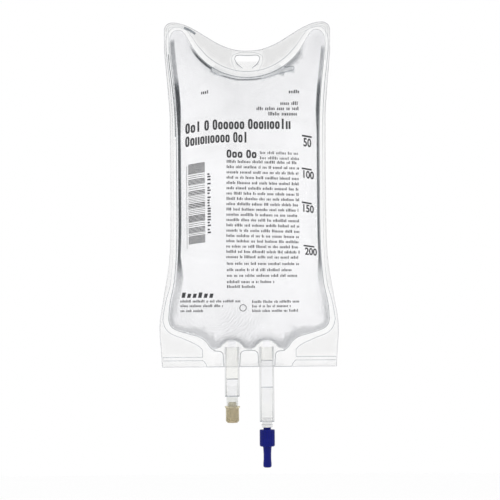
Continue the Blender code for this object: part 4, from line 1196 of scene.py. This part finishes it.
print("plug", PLUG_LENGTH * 1000, "mm long in its band")

# %% Outlet and its spike tube
MEMBRANE = 0.0004            # thickness of the web
END_RING = 0.0019
END_RING_RADIUS = 0.00305
END_RING_EASE = 0.0002
NECK_CUT = 0.0004            # depth of the groove above that ring
NECK_CUT_IN = 0.0010

tube("outlet_tube", PORT_RADIUS, PORT_WALL, 0.0, OUTLET_TUBE, PORT_X, milky,
     "outlet_port_tube")
tube("outlet_liner", INNER_RADIUS, SLEEVE_WALL, SEAM, OUTLET_SLEEVE, PORT_X, cream,
     "outlet_sleeve")
web_foot = -MEMBRANE_DEPTH - MEMBRANE
bore = INNER_RADIUS - SPIKE_WALL
groove = INNER_RADIUS - NECK_CUT
groove_top = NECK_CUT_IN - OUTLET_TUBE
ring_top = END_RING - SPIKE_FOOT
turned("spike_sleeve", [
    (0.0, -MEMBRANE_DEPTH), (bore, -MEMBRANE_DEPTH), (bore, -SPIKE_TUBE_TOP),
    (INNER_RADIUS, -SPIKE_TUBE_TOP), (INNER_RADIUS, groove_top),
    (groove, groove_top - NECK_CUT), (groove, ring_top + END_RING_EASE),
    (END_RING_RADIUS, ring_top - END_RING_EASE), (END_RING_RADIUS, END_RING_EASE - SPIKE_FOOT),
    (END_RING_RADIUS - END_RING_EASE, -SPIKE_FOOT), (bore, -SPIKE_FOOT), (bore, web_foot),
    (0.0, web_foot),
], False, PORT_X, spike_clear, ["spike_tube"])
print("spike tube's web lies", MEMBRANE_DEPTH * 1000, "mm deep")

# %% [markdown]
# ## Pull-off stopper
#
# Hard blue polyethylene, moulded with flutes that the fingers grip. The flutes are
# cylinders cut from the turned blank, as the mould's own pins would leave them. The
# stopper rides on its own body, so that it slides off the tube.

# %% Stopper
SPIGOT_RADIUS = 0.0021
SPIGOT_IN = 0.0050
SPIGOT_OUT = 0.0012
SPIGOT_EASE = 0.0004
GRIP_RADIUS = 0.00425
GRIP_LENGTH = 0.0095
GRIP_EASE = 0.0004           # rounding of the grip's upper edge
GRIP_ROUND = 0.0008          # and of its lower one
TAIL_RADIUS = 0.00235
TAIL_WAIST = 0.00215
TAIL_LENGTH = 0.0118
TAIL_FLARE = 0.0007
FLUTES = 16
FLUTE_RADIUS = 0.00050
FLUTE_DEPTH = 0.00022
grip_top = -SPIKE_FOOT - SPIGOT_OUT
grip_foot = grip_top - GRIP_LENGTH
tail_foot = grip_foot - TAIL_LENGTH
tail_round = 0.45 * TAIL_RADIUS
spigot_top = -SPIKE_FOOT + SPIGOT_IN
profile = [
    (0.0, spigot_top), (SPIGOT_RADIUS - SPIGOT_EASE, spigot_top),
    (SPIGOT_RADIUS, spigot_top - 2 * SPIGOT_EASE), (SPIGOT_RADIUS, grip_top),
    *quarter_round(GRIP_RADIUS, grip_top - GRIP_EASE, GRIP_EASE, 90, 4),
    *quarter_round(GRIP_RADIUS, grip_foot + GRIP_ROUND, GRIP_ROUND, 0),
    (TAIL_RADIUS + 0.3 * TAIL_FLARE, grip_foot), (TAIL_RADIUS, grip_foot - TAIL_FLARE),
    (TAIL_WAIST, grip_foot - 0.35 * TAIL_LENGTH), (TAIL_WAIST, grip_foot - 0.60 * TAIL_LENGTH),
    (TAIL_RADIUS, grip_foot - 0.80 * TAIL_LENGTH),
    *quarter_round(TAIL_RADIUS, tail_foot + tail_round, tail_round, 0), (0.0, tail_foot),
]
at_outlet = (PORT_X, 0.0, PORT_TOP)
blank = screw(new_item("blank", profile_mesh("blank", profile), at_outlet))
flute_top, flute_foot = grip_top - 2 * GRIP_EASE, grip_foot + 1.3 * GRIP_ROUND
reach = GRIP_RADIUS + FLUTE_RADIUS - FLUTE_DEPTH
bm = bmesh.new()
for i in range(FLUTES):
    angle = 2 * math.pi * (i + 0.5) / FLUTES
    middle = (reach * math.cos(angle), reach * math.sin(angle), (flute_top + flute_foot) / 2)
    made = bmesh.ops.create_cone(bm, cap_ends=True, segments=16, radius1=FLUTE_RADIUS,
                                 radius2=FLUTE_RADIUS, depth=flute_top - flute_foot)
    bmesh.ops.translate(bm, verts=made["verts"], vec=middle)
flutes = new_item("flutes", to_mesh(bm, "flutes"), at_outlet)
combine(blank, flutes, "DIFFERENCE")
mesh = used_up(blank, flutes)
mesh.shade_smooth()
mesh.set_sharp_from_angle(angle=math.radians(35))
# Moulded polyethylene: satin, in one deep blue, with grain too fine to see but as a sheen.
blue = solid("blue_polyethylene_satin", "000c66", [("020f6e", 220.0, 3.0, 0.3, 0.7)],
             (1400.0, 4.0, 0.00003, 0.5),
             {"Roughness": 0.36, "IOR": 1.51, "Specular IOR Level": 0.15})
add_piece("pull_stopper", mesh, blue, ["outlet_stopper"], "stopper")
print("stopper", len(mesh.polygons), "faces with", FLUTES, "flutes")

# %% [markdown]
# ## Weld lines
#
# A heated bar presses the sheets together and squeezes a small bead of film out along
# each of its edges. The beads are what one sees of a weld, as fine grey lines, and their
# grey is painted shade. Each one here is a thin closed tube that lies on the film, on both
# sides of the bag. A line in the film's own finish would be flat, and couldn't catch the
# light as a bead does.

# %% Finding the film
def surface_tree(item):
    """Search tree of a piece as it is shown."""
    mesh = baked(item)
    return BVHTree.FromPolygons([v.co.copy() for v in mesh.vertices],
                                [tuple(p.vertices) for p in mesh.polygons])


front_tree = surface_tree(front_sheet)
rear_tree = surface_tree(rear_sheet)


def on_film(x, z, side, proud=0.0):
    """Point on the outer face of the front (-1) or rear (1) sheet, or None beside it."""
    tree = front_tree if side < 0 else rear_tree
    hit = tree.ray_cast(Vector((x, side * 0.1, z)), Vector((0.0, -side, 0.0)))[0]
    return None if hit is None else Vector((x, hit.y + side * proud, z))


print("front film stands at", round(on_film(0.0, -0.100, -1).y * 1000, 1), "mm")


# %% Finish of a line
PALER = 1.25                 # how much lighter its pale patches are


def line_material(name, colour, clear, faint_sides=0.0, tint="eef0f2", faint_horns=0.0):
    """A bead of clear film, painted grey: painted shade for the light that it bends away.

    clear is the share of light that passes, and the two faint ones are that share where
    the line pales, down the bag's sides and up on its shoulders.
    """
    finish, tree = start_material(name)
    colour = linear(colour)
    pale = (*[min(1.0, v * PALER) for v in colour[:3]], 1.0)
    tone = put(tree, "Mix", 2, {0: patches(tree, 120.0, 2.0, 0.4, 0.7), 6: colour, 7: pale},
               **COLOURS)
    bead_body = put(tree, "BsdfPrincipled", 0, {"Base Color": tone, "Roughness": 0.25,
                                                "IOR": PVC_IOR})
    share = patches(tree, 70.0, 3.0, 0.3, 0.7, clear - 0.10, clear + 0.05)
    seen = linear(tint)
    level = put(tree, "SeparateXYZ", "Z", [put(tree, "TexCoord", "Object")])
    if faint_horns:
        horn = put(tree, "MapRange", 0, (level, 0.0025, 0.0080), **SMOOTH)
        share = put(tree, "Mix", 0, {0: horn, 2: share, 3: faint_horns}, data_type="FLOAT")
        seen = put(tree, "Mix", 2, {0: horn, 6: seen, 7: linear("fafafb")}, **COLOURS)
    if faint_sides:
        below_top = put(tree, "MapRange", 0, (level, -0.060, -0.005, 1.0, 0.0), **SMOOTH)
        above_foot = put(tree, "MapRange", 0, (level, -0.150, -0.110), **SMOOTH)
        side = put(tree, "Math", 0, (below_top, above_foot), operation="MULTIPLY")
        share = put(tree, "Mix", 0, {0: side, 2: share, 3: faint_sides}, data_type="FLOAT")
        seen = put(tree, "Mix", 2, {0: side, 6: seen, 7: linear("fdfdfd")}, **COLOURS)
    through = put(tree, "BsdfTransparent", inputs=[seen])
    both = put(tree, "MixShader", 0, (share, bead_body, through))
    put(tree, "OutputMaterial", inputs=[both])
    return finish


# Pressed out by the bar: the round bead of a weld, grey on both flanks.
weld_grey = line_material("pressed_film_bead", "8f9499", 0.68, faint_horns=0.86)
# Cut by a die: the film's square edge, a hair line that hardly greys.
edge_grey = line_material("cut_film_edge", "b2b5b9", 0.94, 0.96, "f8f8f9")
# Embossed by the bar's far edge: shallow, and lost down the sides.
faint_grey = line_material("embossed_film_line", "aeb2b6", 0.84, 0.96, faint_horns=0.92)
# Painted shade, not film: a darker line down the left side by the weld,
# and a soft wide one along a crease near the left shoulder.
side_shade_grey = line_material("side_shade_line", "74797e", 0.50)
crease_shade_grey = line_material("crease_shade_soft", "8f9499", 0.66)
# Softened by heat alone: a sheen more than a line.
very_faint = line_material("soft_film_line", "b4b8bc", 0.93, 0.96, "f9fafa")
print("six finishes for lines")


# %% Laying a bead
PROUD = 0.3                  # height of a bead's axis over the film, in its radius


def mirrored(*lines):
    """Each line and its mirror image, as one run where it starts on the middle."""
    runs = []
    for line in map(np.array, lines):
        flipped = line * np.array([-1.0, 1.0])
        if abs(line[0, 0]) < 1e-6:
            runs.append(joined(flipped[::-1], line))
        else:
            runs += [line, flipped]
    return runs


def spaced(line, pitch):
    """The line's points taken anew at an even spacing."""
    steps = lengths(line)
    stops = np.linspace(0, steps[-1], max(2, int(steps[-1] / pitch) + 1))
    return at_stops(stops, steps, line)


def bead(name, runs, radius, finish, pitch=0.0008):
    """Thin tubes along the runs, pressed against the film on both sides of the bag."""
    curve = bpy.data.curves.new(name, "CURVE")
    curve.dimensions = "3D"
    curve.bevel_depth = radius
    curve.bevel_resolution = 2
    curve.use_fill_caps = True
    for run in runs:
        for side in (-1, 1):
            spots = [on_film(x, z, side, PROUD * radius) for x, z in spaced(run, pitch)]
            spots = [p for p in spots if p is not None]
            if len(spots) < 2:
                continue
            made = curve.splines.new("POLY")
            made.points.add(len(spots) - 1)
            for point, spot in zip(made.points, spots):
                point.co = (*spot, 1.0)
    mesh = used_up(new_item(name + "_curve", curve))
    mesh.shade_smooth()
    return add_piece(name, mesh, finish)


print("beads are traced in steps of 0.8 mm")

# %% Beads of the welds
NUDGE = 0.00015              # how far a bead lies inside the edge that it follows
BLOCK_FOOT = SKIRT_LEVEL + NUDGE
BLOCK_SIDE = ((0.0142, -0.1739), (0.0145, -0.1690), (0.0148, -0.1668), (0.0160, -0.1655),
              (0.0183, -0.1652), (0.0200, -0.1650))
BLOCK_MIDDLE = ((0.0, -0.16495), (0.0030, -0.1651), (0.0047, -0.1663), (0.0051, -0.1690),
                (0.0054, -0.1739))
HORN_RINGS = (0.0012, 0.0024)
# Runs of painted shade: along a crease near the left shoulder, and down the left side.
CREASE_SHADE_RUN = ((-0.0353, 0.0161), (-0.0328, 0.0150), (-0.0304, 0.0136), (-0.0290, 0.0125))
SIDE_SHADE_RUN = ((-0.0441, 0.0011), (-0.0436, -0.0056), (-0.0429, -0.0107), (-0.0419, -0.0191),
             (-0.0409, -0.0303), (-0.0405, -0.0450))

slot_edge = slot_outline(SLOT_WIDTH + 2 * NUDGE, SLOT_HEIGHT, HINGE_WIDTH, top=NUDGE)
outward = normals(outline)
horn_runs = [outline - outward * inset for inset in HORN_RINGS]
horn_runs = [run[(run[:, 0] > 0.030) & (run[:, 1] > -0.004)] for run in horn_runs]
for name, runs, radius, finish in (
        ("weld_bead", mirrored(joined(SIDE, BOTTOM)), 0.00015, weld_grey),
        ("arch_bead", mirrored(ARCH_RUN), 0.00010, very_faint),
        ("weld_outer_bead", mirrored(thinned(WELD)), 0.00012, faint_grey),
        ("cut_edge_bead", mirrored(outline - outward * NUDGE), 0.00014, edge_grey),
        ("slot_bead", mirrored(slot_edge), 0.00014, weld_grey),
        ("slot_ring_bead", mirrored(SLOT_RING[:-4]), 0.00010, very_faint),
        ("strip_bead", mirrored([(CELL_SIDE, CELL_FOOT), (0.0485, CELL_FOOT)],
                                [strip[1], (0.0483, strip_foot)]), 0.00012, faint_grey),
        ("block_bead", mirrored(spline(BLOCK_SIDE), spline(BLOCK_MIDDLE)), 0.00016, weld_grey),
        ("block_foot_bead", mirrored([(0.0146, BLOCK_FOOT), (0.0236, BLOCK_FOOT)],
                                     [(0.0, BLOCK_FOOT), (0.0050, BLOCK_FOOT)]),
         0.00013, faint_grey),
        ("block_end_bead", mirrored([strip[1], strip[2],
                                     (CELL_SIDE - 1.3 * STRIP, BLOCK_FOOT)]),
         0.00012, faint_grey),
        ("horn_bead", mirrored(*horn_runs), 0.00010, very_faint),
        # The last two beads are painted shade, laid on the film as dark lines.
        ("crease_shade_bead", [spline(CREASE_SHADE_RUN)], 0.00058, crease_shade_grey),
        ("side_shade_bead", [spline(SIDE_SHADE_RUN)], 0.00020, side_shade_grey)):
    item = bead(name, runs, radius, finish)
    print(name, len(item.data.polygons), "faces")

# %% [markdown]
# ## Ends of the port pieces
#
# The cut end of a clear tube shows as a fine dark ring, because its flat face sends the
# light aside. A thin grey ring turned round each end paints that line as painted shade,
# where an edge as sharp as the model's would be too thin to see.

# %% Rings
RING_THICK = 0.00016
PORT_RINGS = (
    ("injection_liner_end", -PORT_X, SEAM + INJECTION_SLEEVE, INNER_RADIUS, 0.62),
    ("injection_tube_end", -PORT_X, INJECTION_TUBE - 0.0002, PORT_RADIUS, 0.80),
    ("outlet_liner_end", PORT_X, SEAM + OUTLET_SLEEVE, INNER_RADIUS, 0.72),
    ("spike_sleeve_end", PORT_X, SPIKE_TUBE_TOP, INNER_RADIUS, 0.88),
    ("outlet_tube_end", PORT_X, OUTLET_TUBE - 0.0002, PORT_RADIUS, 0.90),
    ("spike_ring_edge", PORT_X, SPIKE_FOOT - END_RING + 0.0003, END_RING_RADIUS - 0.0001,
     0.55),
)
for name, x, depth, radius, clear in PORT_RINGS:
    section = [(radius + RING_THICK * math.cos(a), -depth + RING_THICK * math.sin(a))
               for a in np.radians(np.arange(0, 360, 45))]
    # Painted shade: grey rings where the cut ends send light aside.
    turned(name, section[::-1], True, x, line_material(name, "6f757b", clear))
print(len(PORT_RINGS), "rings at the ends of the port pieces")

# %% [markdown]
# ## Edge of the air
#
# Where water meets the film it climbs a little, and that curved edge is the darkest line
# in the bag, painted as shade on thin dark beads. It runs along the lower side of the air
# pocket, and pales at both ends.

# %% Water's edge
# Painted shade: dark grey beads along the water's edge.
water_line = line_material("water_edge_dark", "5c6268", 0.42)
soft_line = line_material("water_edge_soft", "8f9499", 0.78)
middle = np.nonzero((WATER_EDGE[:, 0] > -0.014) & (WATER_EDGE[:, 0] < 0.008))[0]
first, last = middle[0], middle[-1]
bead("meniscus", [WATER_EDGE[first:last + 1]], 0.00022, water_line, pitch=0.0005)
bead("meniscus_ends", [WATER_EDGE[:first + 1], WATER_EDGE[last:]], 0.00016, soft_line,
     pitch=0.0005)
print("water's edge", len(WATER_EDGE), "points")

# %% [markdown]
# ## Print
#
# Ink on the bag is screen printed in one dark colour, before the bag is filled, so the
# swelling pulls the lines down towards the sides. The print here says nothing: lines of
# small blocks stand for the text, with a stripe code and the scale's numbers, at the
# places and sizes that the real print has. Each mark is a thin slab laid on the film,
# because a picture of the print would blur close up.

# %% Where a mark goes
SAG_START, SAG_SPAN, SAG_MOST = 0.012, 0.022, 0.0022
SLOPE_WIDTH, SLOPE_MOST = 0.0402, 0.0010
TICK_START, TICK_SLOPE = 0.0290, 0.16


def drawn_down(x, z):
    """Level of a mark after filling: the swelling pulls the print down towards the sides."""
    left = min(max((-x - SAG_START) / SAG_SPAN, 0.0), 1.2)
    across = min(max((x + SAG_START) / SLOPE_WIDTH, 0.0), 1.0)
    under_head = float(np.interp(-z, [0.044, 0.052], [0.0, 1.0]))
    down = (SAG_MOST * left**2 + SLOPE_MOST * across * under_head
            + TICK_SLOPE * max(x - TICK_START, 0.0))
    return z - down * float(np.interp(-z, [0.100, 0.134], [1.0, 0.0]))


print("a mark at the left sinks", round((-0.05 - drawn_down(-0.034, -0.05)) * 1000, 1), "mm")

# %% Slabs of ink
INK_LIFT = 0.00005
INK_DEPTH = 0.00006
INK_STEP = 0.0010            # longest edge of a slab, so that it follows the film


class Ink:
    """Slabs of ink, collected in one mesh."""

    def __init__(self):
        self.bm = bmesh.new()

    def shape(self, loop):
        """One flat convex shape, given as (x, z) corners."""
        near = [on_film(x, drawn_down(x, z), -1, INK_LIFT) for x, z in loop]
        if None in near:
            return
        far = [Vector((p.x, p.y + INK_LIFT + INK_DEPTH, p.z)) for p in near]
        a = [self.bm.verts.new(p) for p in near]
        b = [self.bm.verts.new(p) for p in far]
        self.bm.faces.new(a)
        self.bm.faces.new(b[::-1])
        for i in range(len(a)):
            j = (i + 1) % len(a)
            self.bm.faces.new([a[j], a[i], b[i], b[j]])

    def bar(self, x0, z0, x1, z1, lean=0.0):
        """Upright bar in slabs that follow the film; a leaning one is cut only crosswise."""
        across = 1 if lean else max(1, math.ceil((x1 - x0) / INK_STEP))
        down = max(1, math.ceil((z1 - z0) / INK_STEP))
        for i in range(across):
            for j in range(down):
                a, b = (x0 + (x1 - x0) * k / across for k in (i, i + 1))
                c, d = (z0 + (z1 - z0) * k / down for k in (j, j + 1))
                low, high = lean * j / down, lean * (j + 1) / down
                self.shape([(a + low, c), (b + low, c), (b + high, d), (a + high, d)])

    def ring(self, x0, z0, x1, z1, stroke, steps=20, square=0.7):
        """Ring that fills a rectangle: square is 1 for an ellipse, less for fuller corners."""
        middle = np.array([(x0 + x1) / 2, (z0 + z1) / 2])
        out = np.array([(x1 - x0) / 2, (z1 - z0) / 2])
        turns = np.linspace(0, 2 * math.pi, steps + 1)
        way = np.column_stack([np.cos(turns), np.sin(turns)])
        way = np.sign(way) * np.abs(way) ** square
        outer, inner = middle + way * out, middle + way * (out - stroke)
        for i in range(steps):
            self.shape([outer[i], outer[i + 1], inner[i + 1], inner[i]])

    def done(self, name, finish):
        bmesh.ops.recalc_face_normals(self.bm, faces=self.bm.faces)
        return add_piece(name, to_mesh(self.bm, name), finish)


# Screen ink: near black and satin, a little thinner in places, as the mesh lays it down.
black_ink = solid("black_screen_ink", "26272a", [("3c3d41", 900.0, 3.0, 0.4, 0.7)],
                  (2500.0, 3.0, 0.00001, 0.4), {"Roughness": 0.45, "IOR": 1.50})
print("ink lies", INK_LIFT * 1000, "mm off the film")

# %% Lines that say nothing
WORD_GAP = 0.55              # in heights of a small line, or in letters of a heading
LOW_LETTER, LOW_BOLD = 0.72, 0.76    # a low letter's height beside a tall one's
draw = random.Random(7)


def small_line(ink, x0, x1, top, height, weight=0.62):
    """A line of text as small blocks in words of uneven length."""
    x = x0
    left = draw.randint(3, 9)
    while x < x1:
        wide = height * draw.uniform(0.38, 0.62)
        tall = height * (1.0 if draw.random() < 0.28 else LOW_LETTER)
        if x + wide * weight > x1:
            break
        ink.bar(x, top - height, x + wide * weight, top - height + tall)
        x += wide
        left -= 1
        if not left:
            x += height * WORD_GAP
            left = draw.randint(2, 9)


def big_line(ink, x0, x1, top, height, stroke, words):
    """A heading as bold rings and bars: words gives how many stand in each word."""
    pitch = (x1 - x0) / (sum(words) + WORD_GAP * (len(words) - 1))
    wide = pitch * 0.88
    line = min(stroke, 0.40 * wide)
    foot = top - height
    short = foot + LOW_BOLD * height
    x = x0
    for word in words:
        for i in range(word):
            pick = draw.random()
            if i == 0:
                ink.ring(x, foot, x + wide, top, line)
            elif pick < 0.55:
                ink.ring(x, foot, x + wide, short, line)
            elif pick < 0.80:
                ink.bar(x + 0.5 * (wide - stroke), foot, x + 0.5 * (wide + stroke), top)
            else:
                ink.bar(x, foot, x + line, short)
                ink.bar(x + wide - line, foot, x + wide, short)
            x += pitch
        x += WORD_GAP * pitch


print("headings are drawn as rings and bars")

# %% Printed lines
HEAD_STROKE = 0.00108
TEXT_TOP, TEXT_PITCH, TEXT_LINES = -0.0586, 0.00294, 19
text_lines = [(x0, x1, top, 0.0020) for x0, x1, top in (
    (-0.0258, -0.0200, -0.0189), (0.0231, 0.0288, -0.0195), (0.0183, 0.0287, -0.0261),
    (0.0050, 0.0287, -0.0290), (0.0116, 0.0287, -0.0320))]
text_lines += [(0.0067, 0.0284, top, 0.0016, 0.55) for top in (-0.0534, -0.0563)]
text_lines += [(-0.0118 - 0.00003 * i, 0.0284, TEXT_TOP - TEXT_PITCH * i, 0.0016)
               for i in range(TEXT_LINES)]
text_lines += [(-0.0121, x1, top, 0.0016) for x1, top in (
    (0.0283, -0.1152), (0.0242, -0.1187), (0.0282, -0.1219), (0.0144, -0.1254),
    (0.0043, -0.1281))]
text_lines += [(x0, x1, top, 0.0015) for x0, x1, top in (
    (-0.0382, -0.0045, -0.1362), (-0.0382, -0.0145, -0.1388), (-0.0382, -0.0255, -0.1416),
    (0.0018, 0.0281, -0.1366), (0.0018, 0.0236, -0.1391), (0.0018, 0.0280, -0.1417))]

text = Ink()
big_line(text, -0.0348, 0.0242, -0.0358, 0.0058, HEAD_STROKE, (3, 1, 6, 8))
big_line(text, -0.0349, 0.0003, -0.0431, 0.0058, HEAD_STROKE, (9, 3))
big_line(text, -0.0118, 0.0052, -0.0528, 0.0046, 0.00100, (3, 2))
for line in text_lines:
    small_line(text, *line)

MARK_LEFT, MARK_FOOT, MARK_TOP, MARK_PITCH = -0.0376, -0.1351, -0.1320, 0.0031
for i in range(6):
    x = MARK_LEFT + MARK_PITCH * i
    top = MARK_TOP + (0.0 if i % 3 == 0 else -0.0007)
    text.bar(x, MARK_FOOT, x + 0.62 * MARK_PITCH, top, lean=0.0006)
RING_X, RING_Z, RING_OUT, RING_IN = -0.0033, -0.1408, 0.0020, 0.0016
text.ring(RING_X - RING_OUT, RING_Z - RING_OUT, RING_X + RING_OUT, RING_Z + RING_OUT,
          RING_OUT - RING_IN, steps=24, square=1.0)
text.done("printed_lines", black_ink)
print(len(text_lines), "small lines and 3 headings")

# %% Stripe code
CODE_LEFT, CODE_RIGHT, CODE_TOP = -0.0333, -0.0240, -0.0590
STRIPE_RUNS = ((9, 0.00040, 0.00019), (3, 0.00030, 0.00080), (4, 0.00045, 0.00026),
               (3, 0.00026, 0.00095), (3, 0.00050, 0.00030), (5, 0.00026, 0.00066),
               (3, 0.00055, 0.00034), (4, 0.00028, 0.00070), (5, 0.00048, 0.00022),
               (3, 0.00028, 0.00082), (4, 0.00045, 0.00026), (2, 0.00028, 0.00062),
               (8, 0.00040, 0.00019))     # how many, how thick and how far apart
ROW_LEFT, ROW_TOP, ROW_FOOT, ROW_THICK = -0.0226, -0.0655, -0.0992, 0.0009
stripes = Ink()
z = CODE_TOP
for count, thick, gap in STRIPE_RUNS:
    for _ in range(count):
        stripes.bar(CODE_LEFT, z - thick, CODE_RIGHT, z)
        z -= thick + gap
print("stripe code ends at", round(z * 1000, 1), "mm")
stripes.bar(-0.0343, -0.1061, -0.0341, -0.0597)
z = ROW_TOP
while z > ROW_FOOT:
    stripes.bar(ROW_LEFT, z - ROW_THICK, ROW_LEFT + draw.choice((0.0012, 0.0018, 0.0018)), z)
    z -= draw.choice((0.0014, 0.0016, 0.0016, 0.0023))
stripes.done("printed_stripes", black_ink)

# %% [markdown]
# ## Scale
#
# Ticks and plain numbers down the right side show what is left in the bag. The numbers
# are Blender's own letters, filled, squeezed and laid point by point on the film.

# %% Ticks and numbers
TICKS = ((50, -0.0444, 0.0302, 0.0357), (100, -0.0618, 0.0300, 0.0355),
         (150, -0.0807, 0.0298, 0.0353), (200, -0.1049, 0.0306, 0.0367))
TICK_THICK = 0.0009
NUMBER_HEIGHT = 0.0058       # font size that gives digits 4 mm tall
NUMBER_BOLD = 0.00016        # how far each digit's outline is pushed out
NUMBER_IN, NUMBER_DOWN = 0.0008, 0.0013      # a number's place beside its tick
DIGIT_SQUEEZE = 0.78         # and their condensed width
scale_ink = Ink()
for _, top, x0, x1 in TICKS:
    scale_ink.bar(x0, top - TICK_THICK, x1, top)
scale_ink.done("scale_ticks", black_ink)

for number, top, x0, _ in TICKS:
    words = bpy.data.curves.new("digits", "FONT")
    words.body = str(number)
    words.size = NUMBER_HEIGHT
    words.offset = NUMBER_BOLD
    words.resolution_u = 3
    bm = bmesh.new()
    bm.from_mesh(used_up(new_item("digits", words)))
    left = min(v.co.x for v in bm.verts)
    highest = max(v.co.y for v in bm.verts)
    for vert in bm.verts:
        x = x0 + NUMBER_IN + DIGIT_SQUEEZE * (vert.co.x - left)
        z = drawn_down(x, top - NUMBER_DOWN - (highest - vert.co.y))
        vert.co = on_film(x, z, -1, INK_LIFT) or Vector((x, -0.01, z))
    made = bmesh.ops.extrude_face_region(bm, geom=list(bm.faces))
    moved = [v for v in made["geom"] if isinstance(v, bmesh.types.BMVert)]
    bmesh.ops.translate(bm, verts=moved, vec=(0.0, INK_LIFT + INK_DEPTH, 0.0))
    bmesh.ops.recalc_face_normals(bm, faces=bm.faces)
    add_piece(f"scale_{number}", to_mesh(bm, f"scale_{number}"), black_ink)
    print("scale", number, "at", top * 1000, "mm")

# %% [markdown]
# ## Stage, light and camera
#
# A plain white floor and an even white surround, with two soft lamps in front and one
# behind. A clear bag on white shows by its edges alone, so the light is kept flat.

# %% Floor and surround
FLOOR_LEVEL = -0.50
bpy.ops.mesh.primitive_circle_add(vertices=96, radius=3.3, fill_type="NGON",
                                  location=(0.0, 0.0, FLOOR_LEVEL))
floor = bpy.context.object
floor.name = "floor"
paper, tree = start_material("white_paper_matte")
paper_white = put(tree, "BsdfPrincipled", 0, {"Base Color": linear("fdfdfd"), "Roughness": 0.9,
                                              "Specular IOR Level": 0.0})
put(tree, "OutputMaterial", inputs=[paper_white])
floor.data.materials.append(paper)

# Bent rays see a room that darkens overhead and underfoot. They count as gloss too, and
# gloss sees REFLECTED, so at 1.00 the surround is all but plain white.
STEEP = (0.35, 0.95, 1.0, 0.72)   # how steep a ray is, from and to, and the room's strength
REFLECTED = 1.00
scene = bpy.context.scene
world = bpy.data.worlds.new("white_surround")
scene.world = world
world.use_nodes = True
tree = world.node_tree
tree.nodes.clear()
toward = put(tree, "TexCoord", "Generated")
height = put(tree, "SeparateXYZ", "Z", [toward])
steep = put(tree, "Math", 0, [height], operation="ABSOLUTE")
seen = put(tree, "MapRange", 0, (steep, *STEEP), **SMOOTH)
path = put(tree, "LightPath").node.outputs
bent = put(tree, "Mix", 0, {0: path["Is Transmission Ray"], 2: 1.0, 3: seen})
strength = put(tree, "Mix", 0, {0: path["Is Glossy Ray"], 2: bent, 3: REFLECTED})
glow = put(tree, "Background", 0, (linear("ffffff"), strength))
put(tree, "OutputWorld", inputs=[glow])
print("floor", FLOOR_LEVEL, "m below the hook")


# %% Lamps and camera
def lamp(name, power, size, place, aim=(0.0, 0.0, -0.10)):
    light = bpy.data.lights.new(name, "AREA")
    light.energy = power
    light.size = size
    item = new_item(name, light, place)
    item.rotation_euler = (Vector(aim) - Vector(place)).to_track_quat("-Z", "Y").to_euler()


lamp("key", 3.0, 1.6, (-0.9, -1.1, 0.8))
lamp("fill", 1.2, 1.2, (1.1, -0.9, 0.2))
lamp("back", 1.5, 1.2, (0.3, 1.3, 0.9))

DISTANCE = 1.556
LENS = 200.0
TILT = math.radians(0.42)    # roll of the camera, as the bag hangs in the photo
LOOK_X, LOOK_Z = 0.0008, -0.1087
camera_data = bpy.data.cameras.new("camera")
camera_data.lens = LENS
camera_data.sensor_width = 36.0
camera_data.clip_start = 0.05
camera_data.clip_end = 50.0
camera = new_item("camera", camera_data, (LOOK_X, -DISTANCE, LOOK_Z))
camera.rotation_euler = (math.pi / 2, TILT, 0.0)
scene.camera = camera
scene.view_settings.view_transform = "Standard"
scene.cycles.transparent_max_bounces = 32
scene.cycles.transmission_bounces = 16
scene.cycles.max_bounces = 20
print("camera", DISTANCE, "m away")
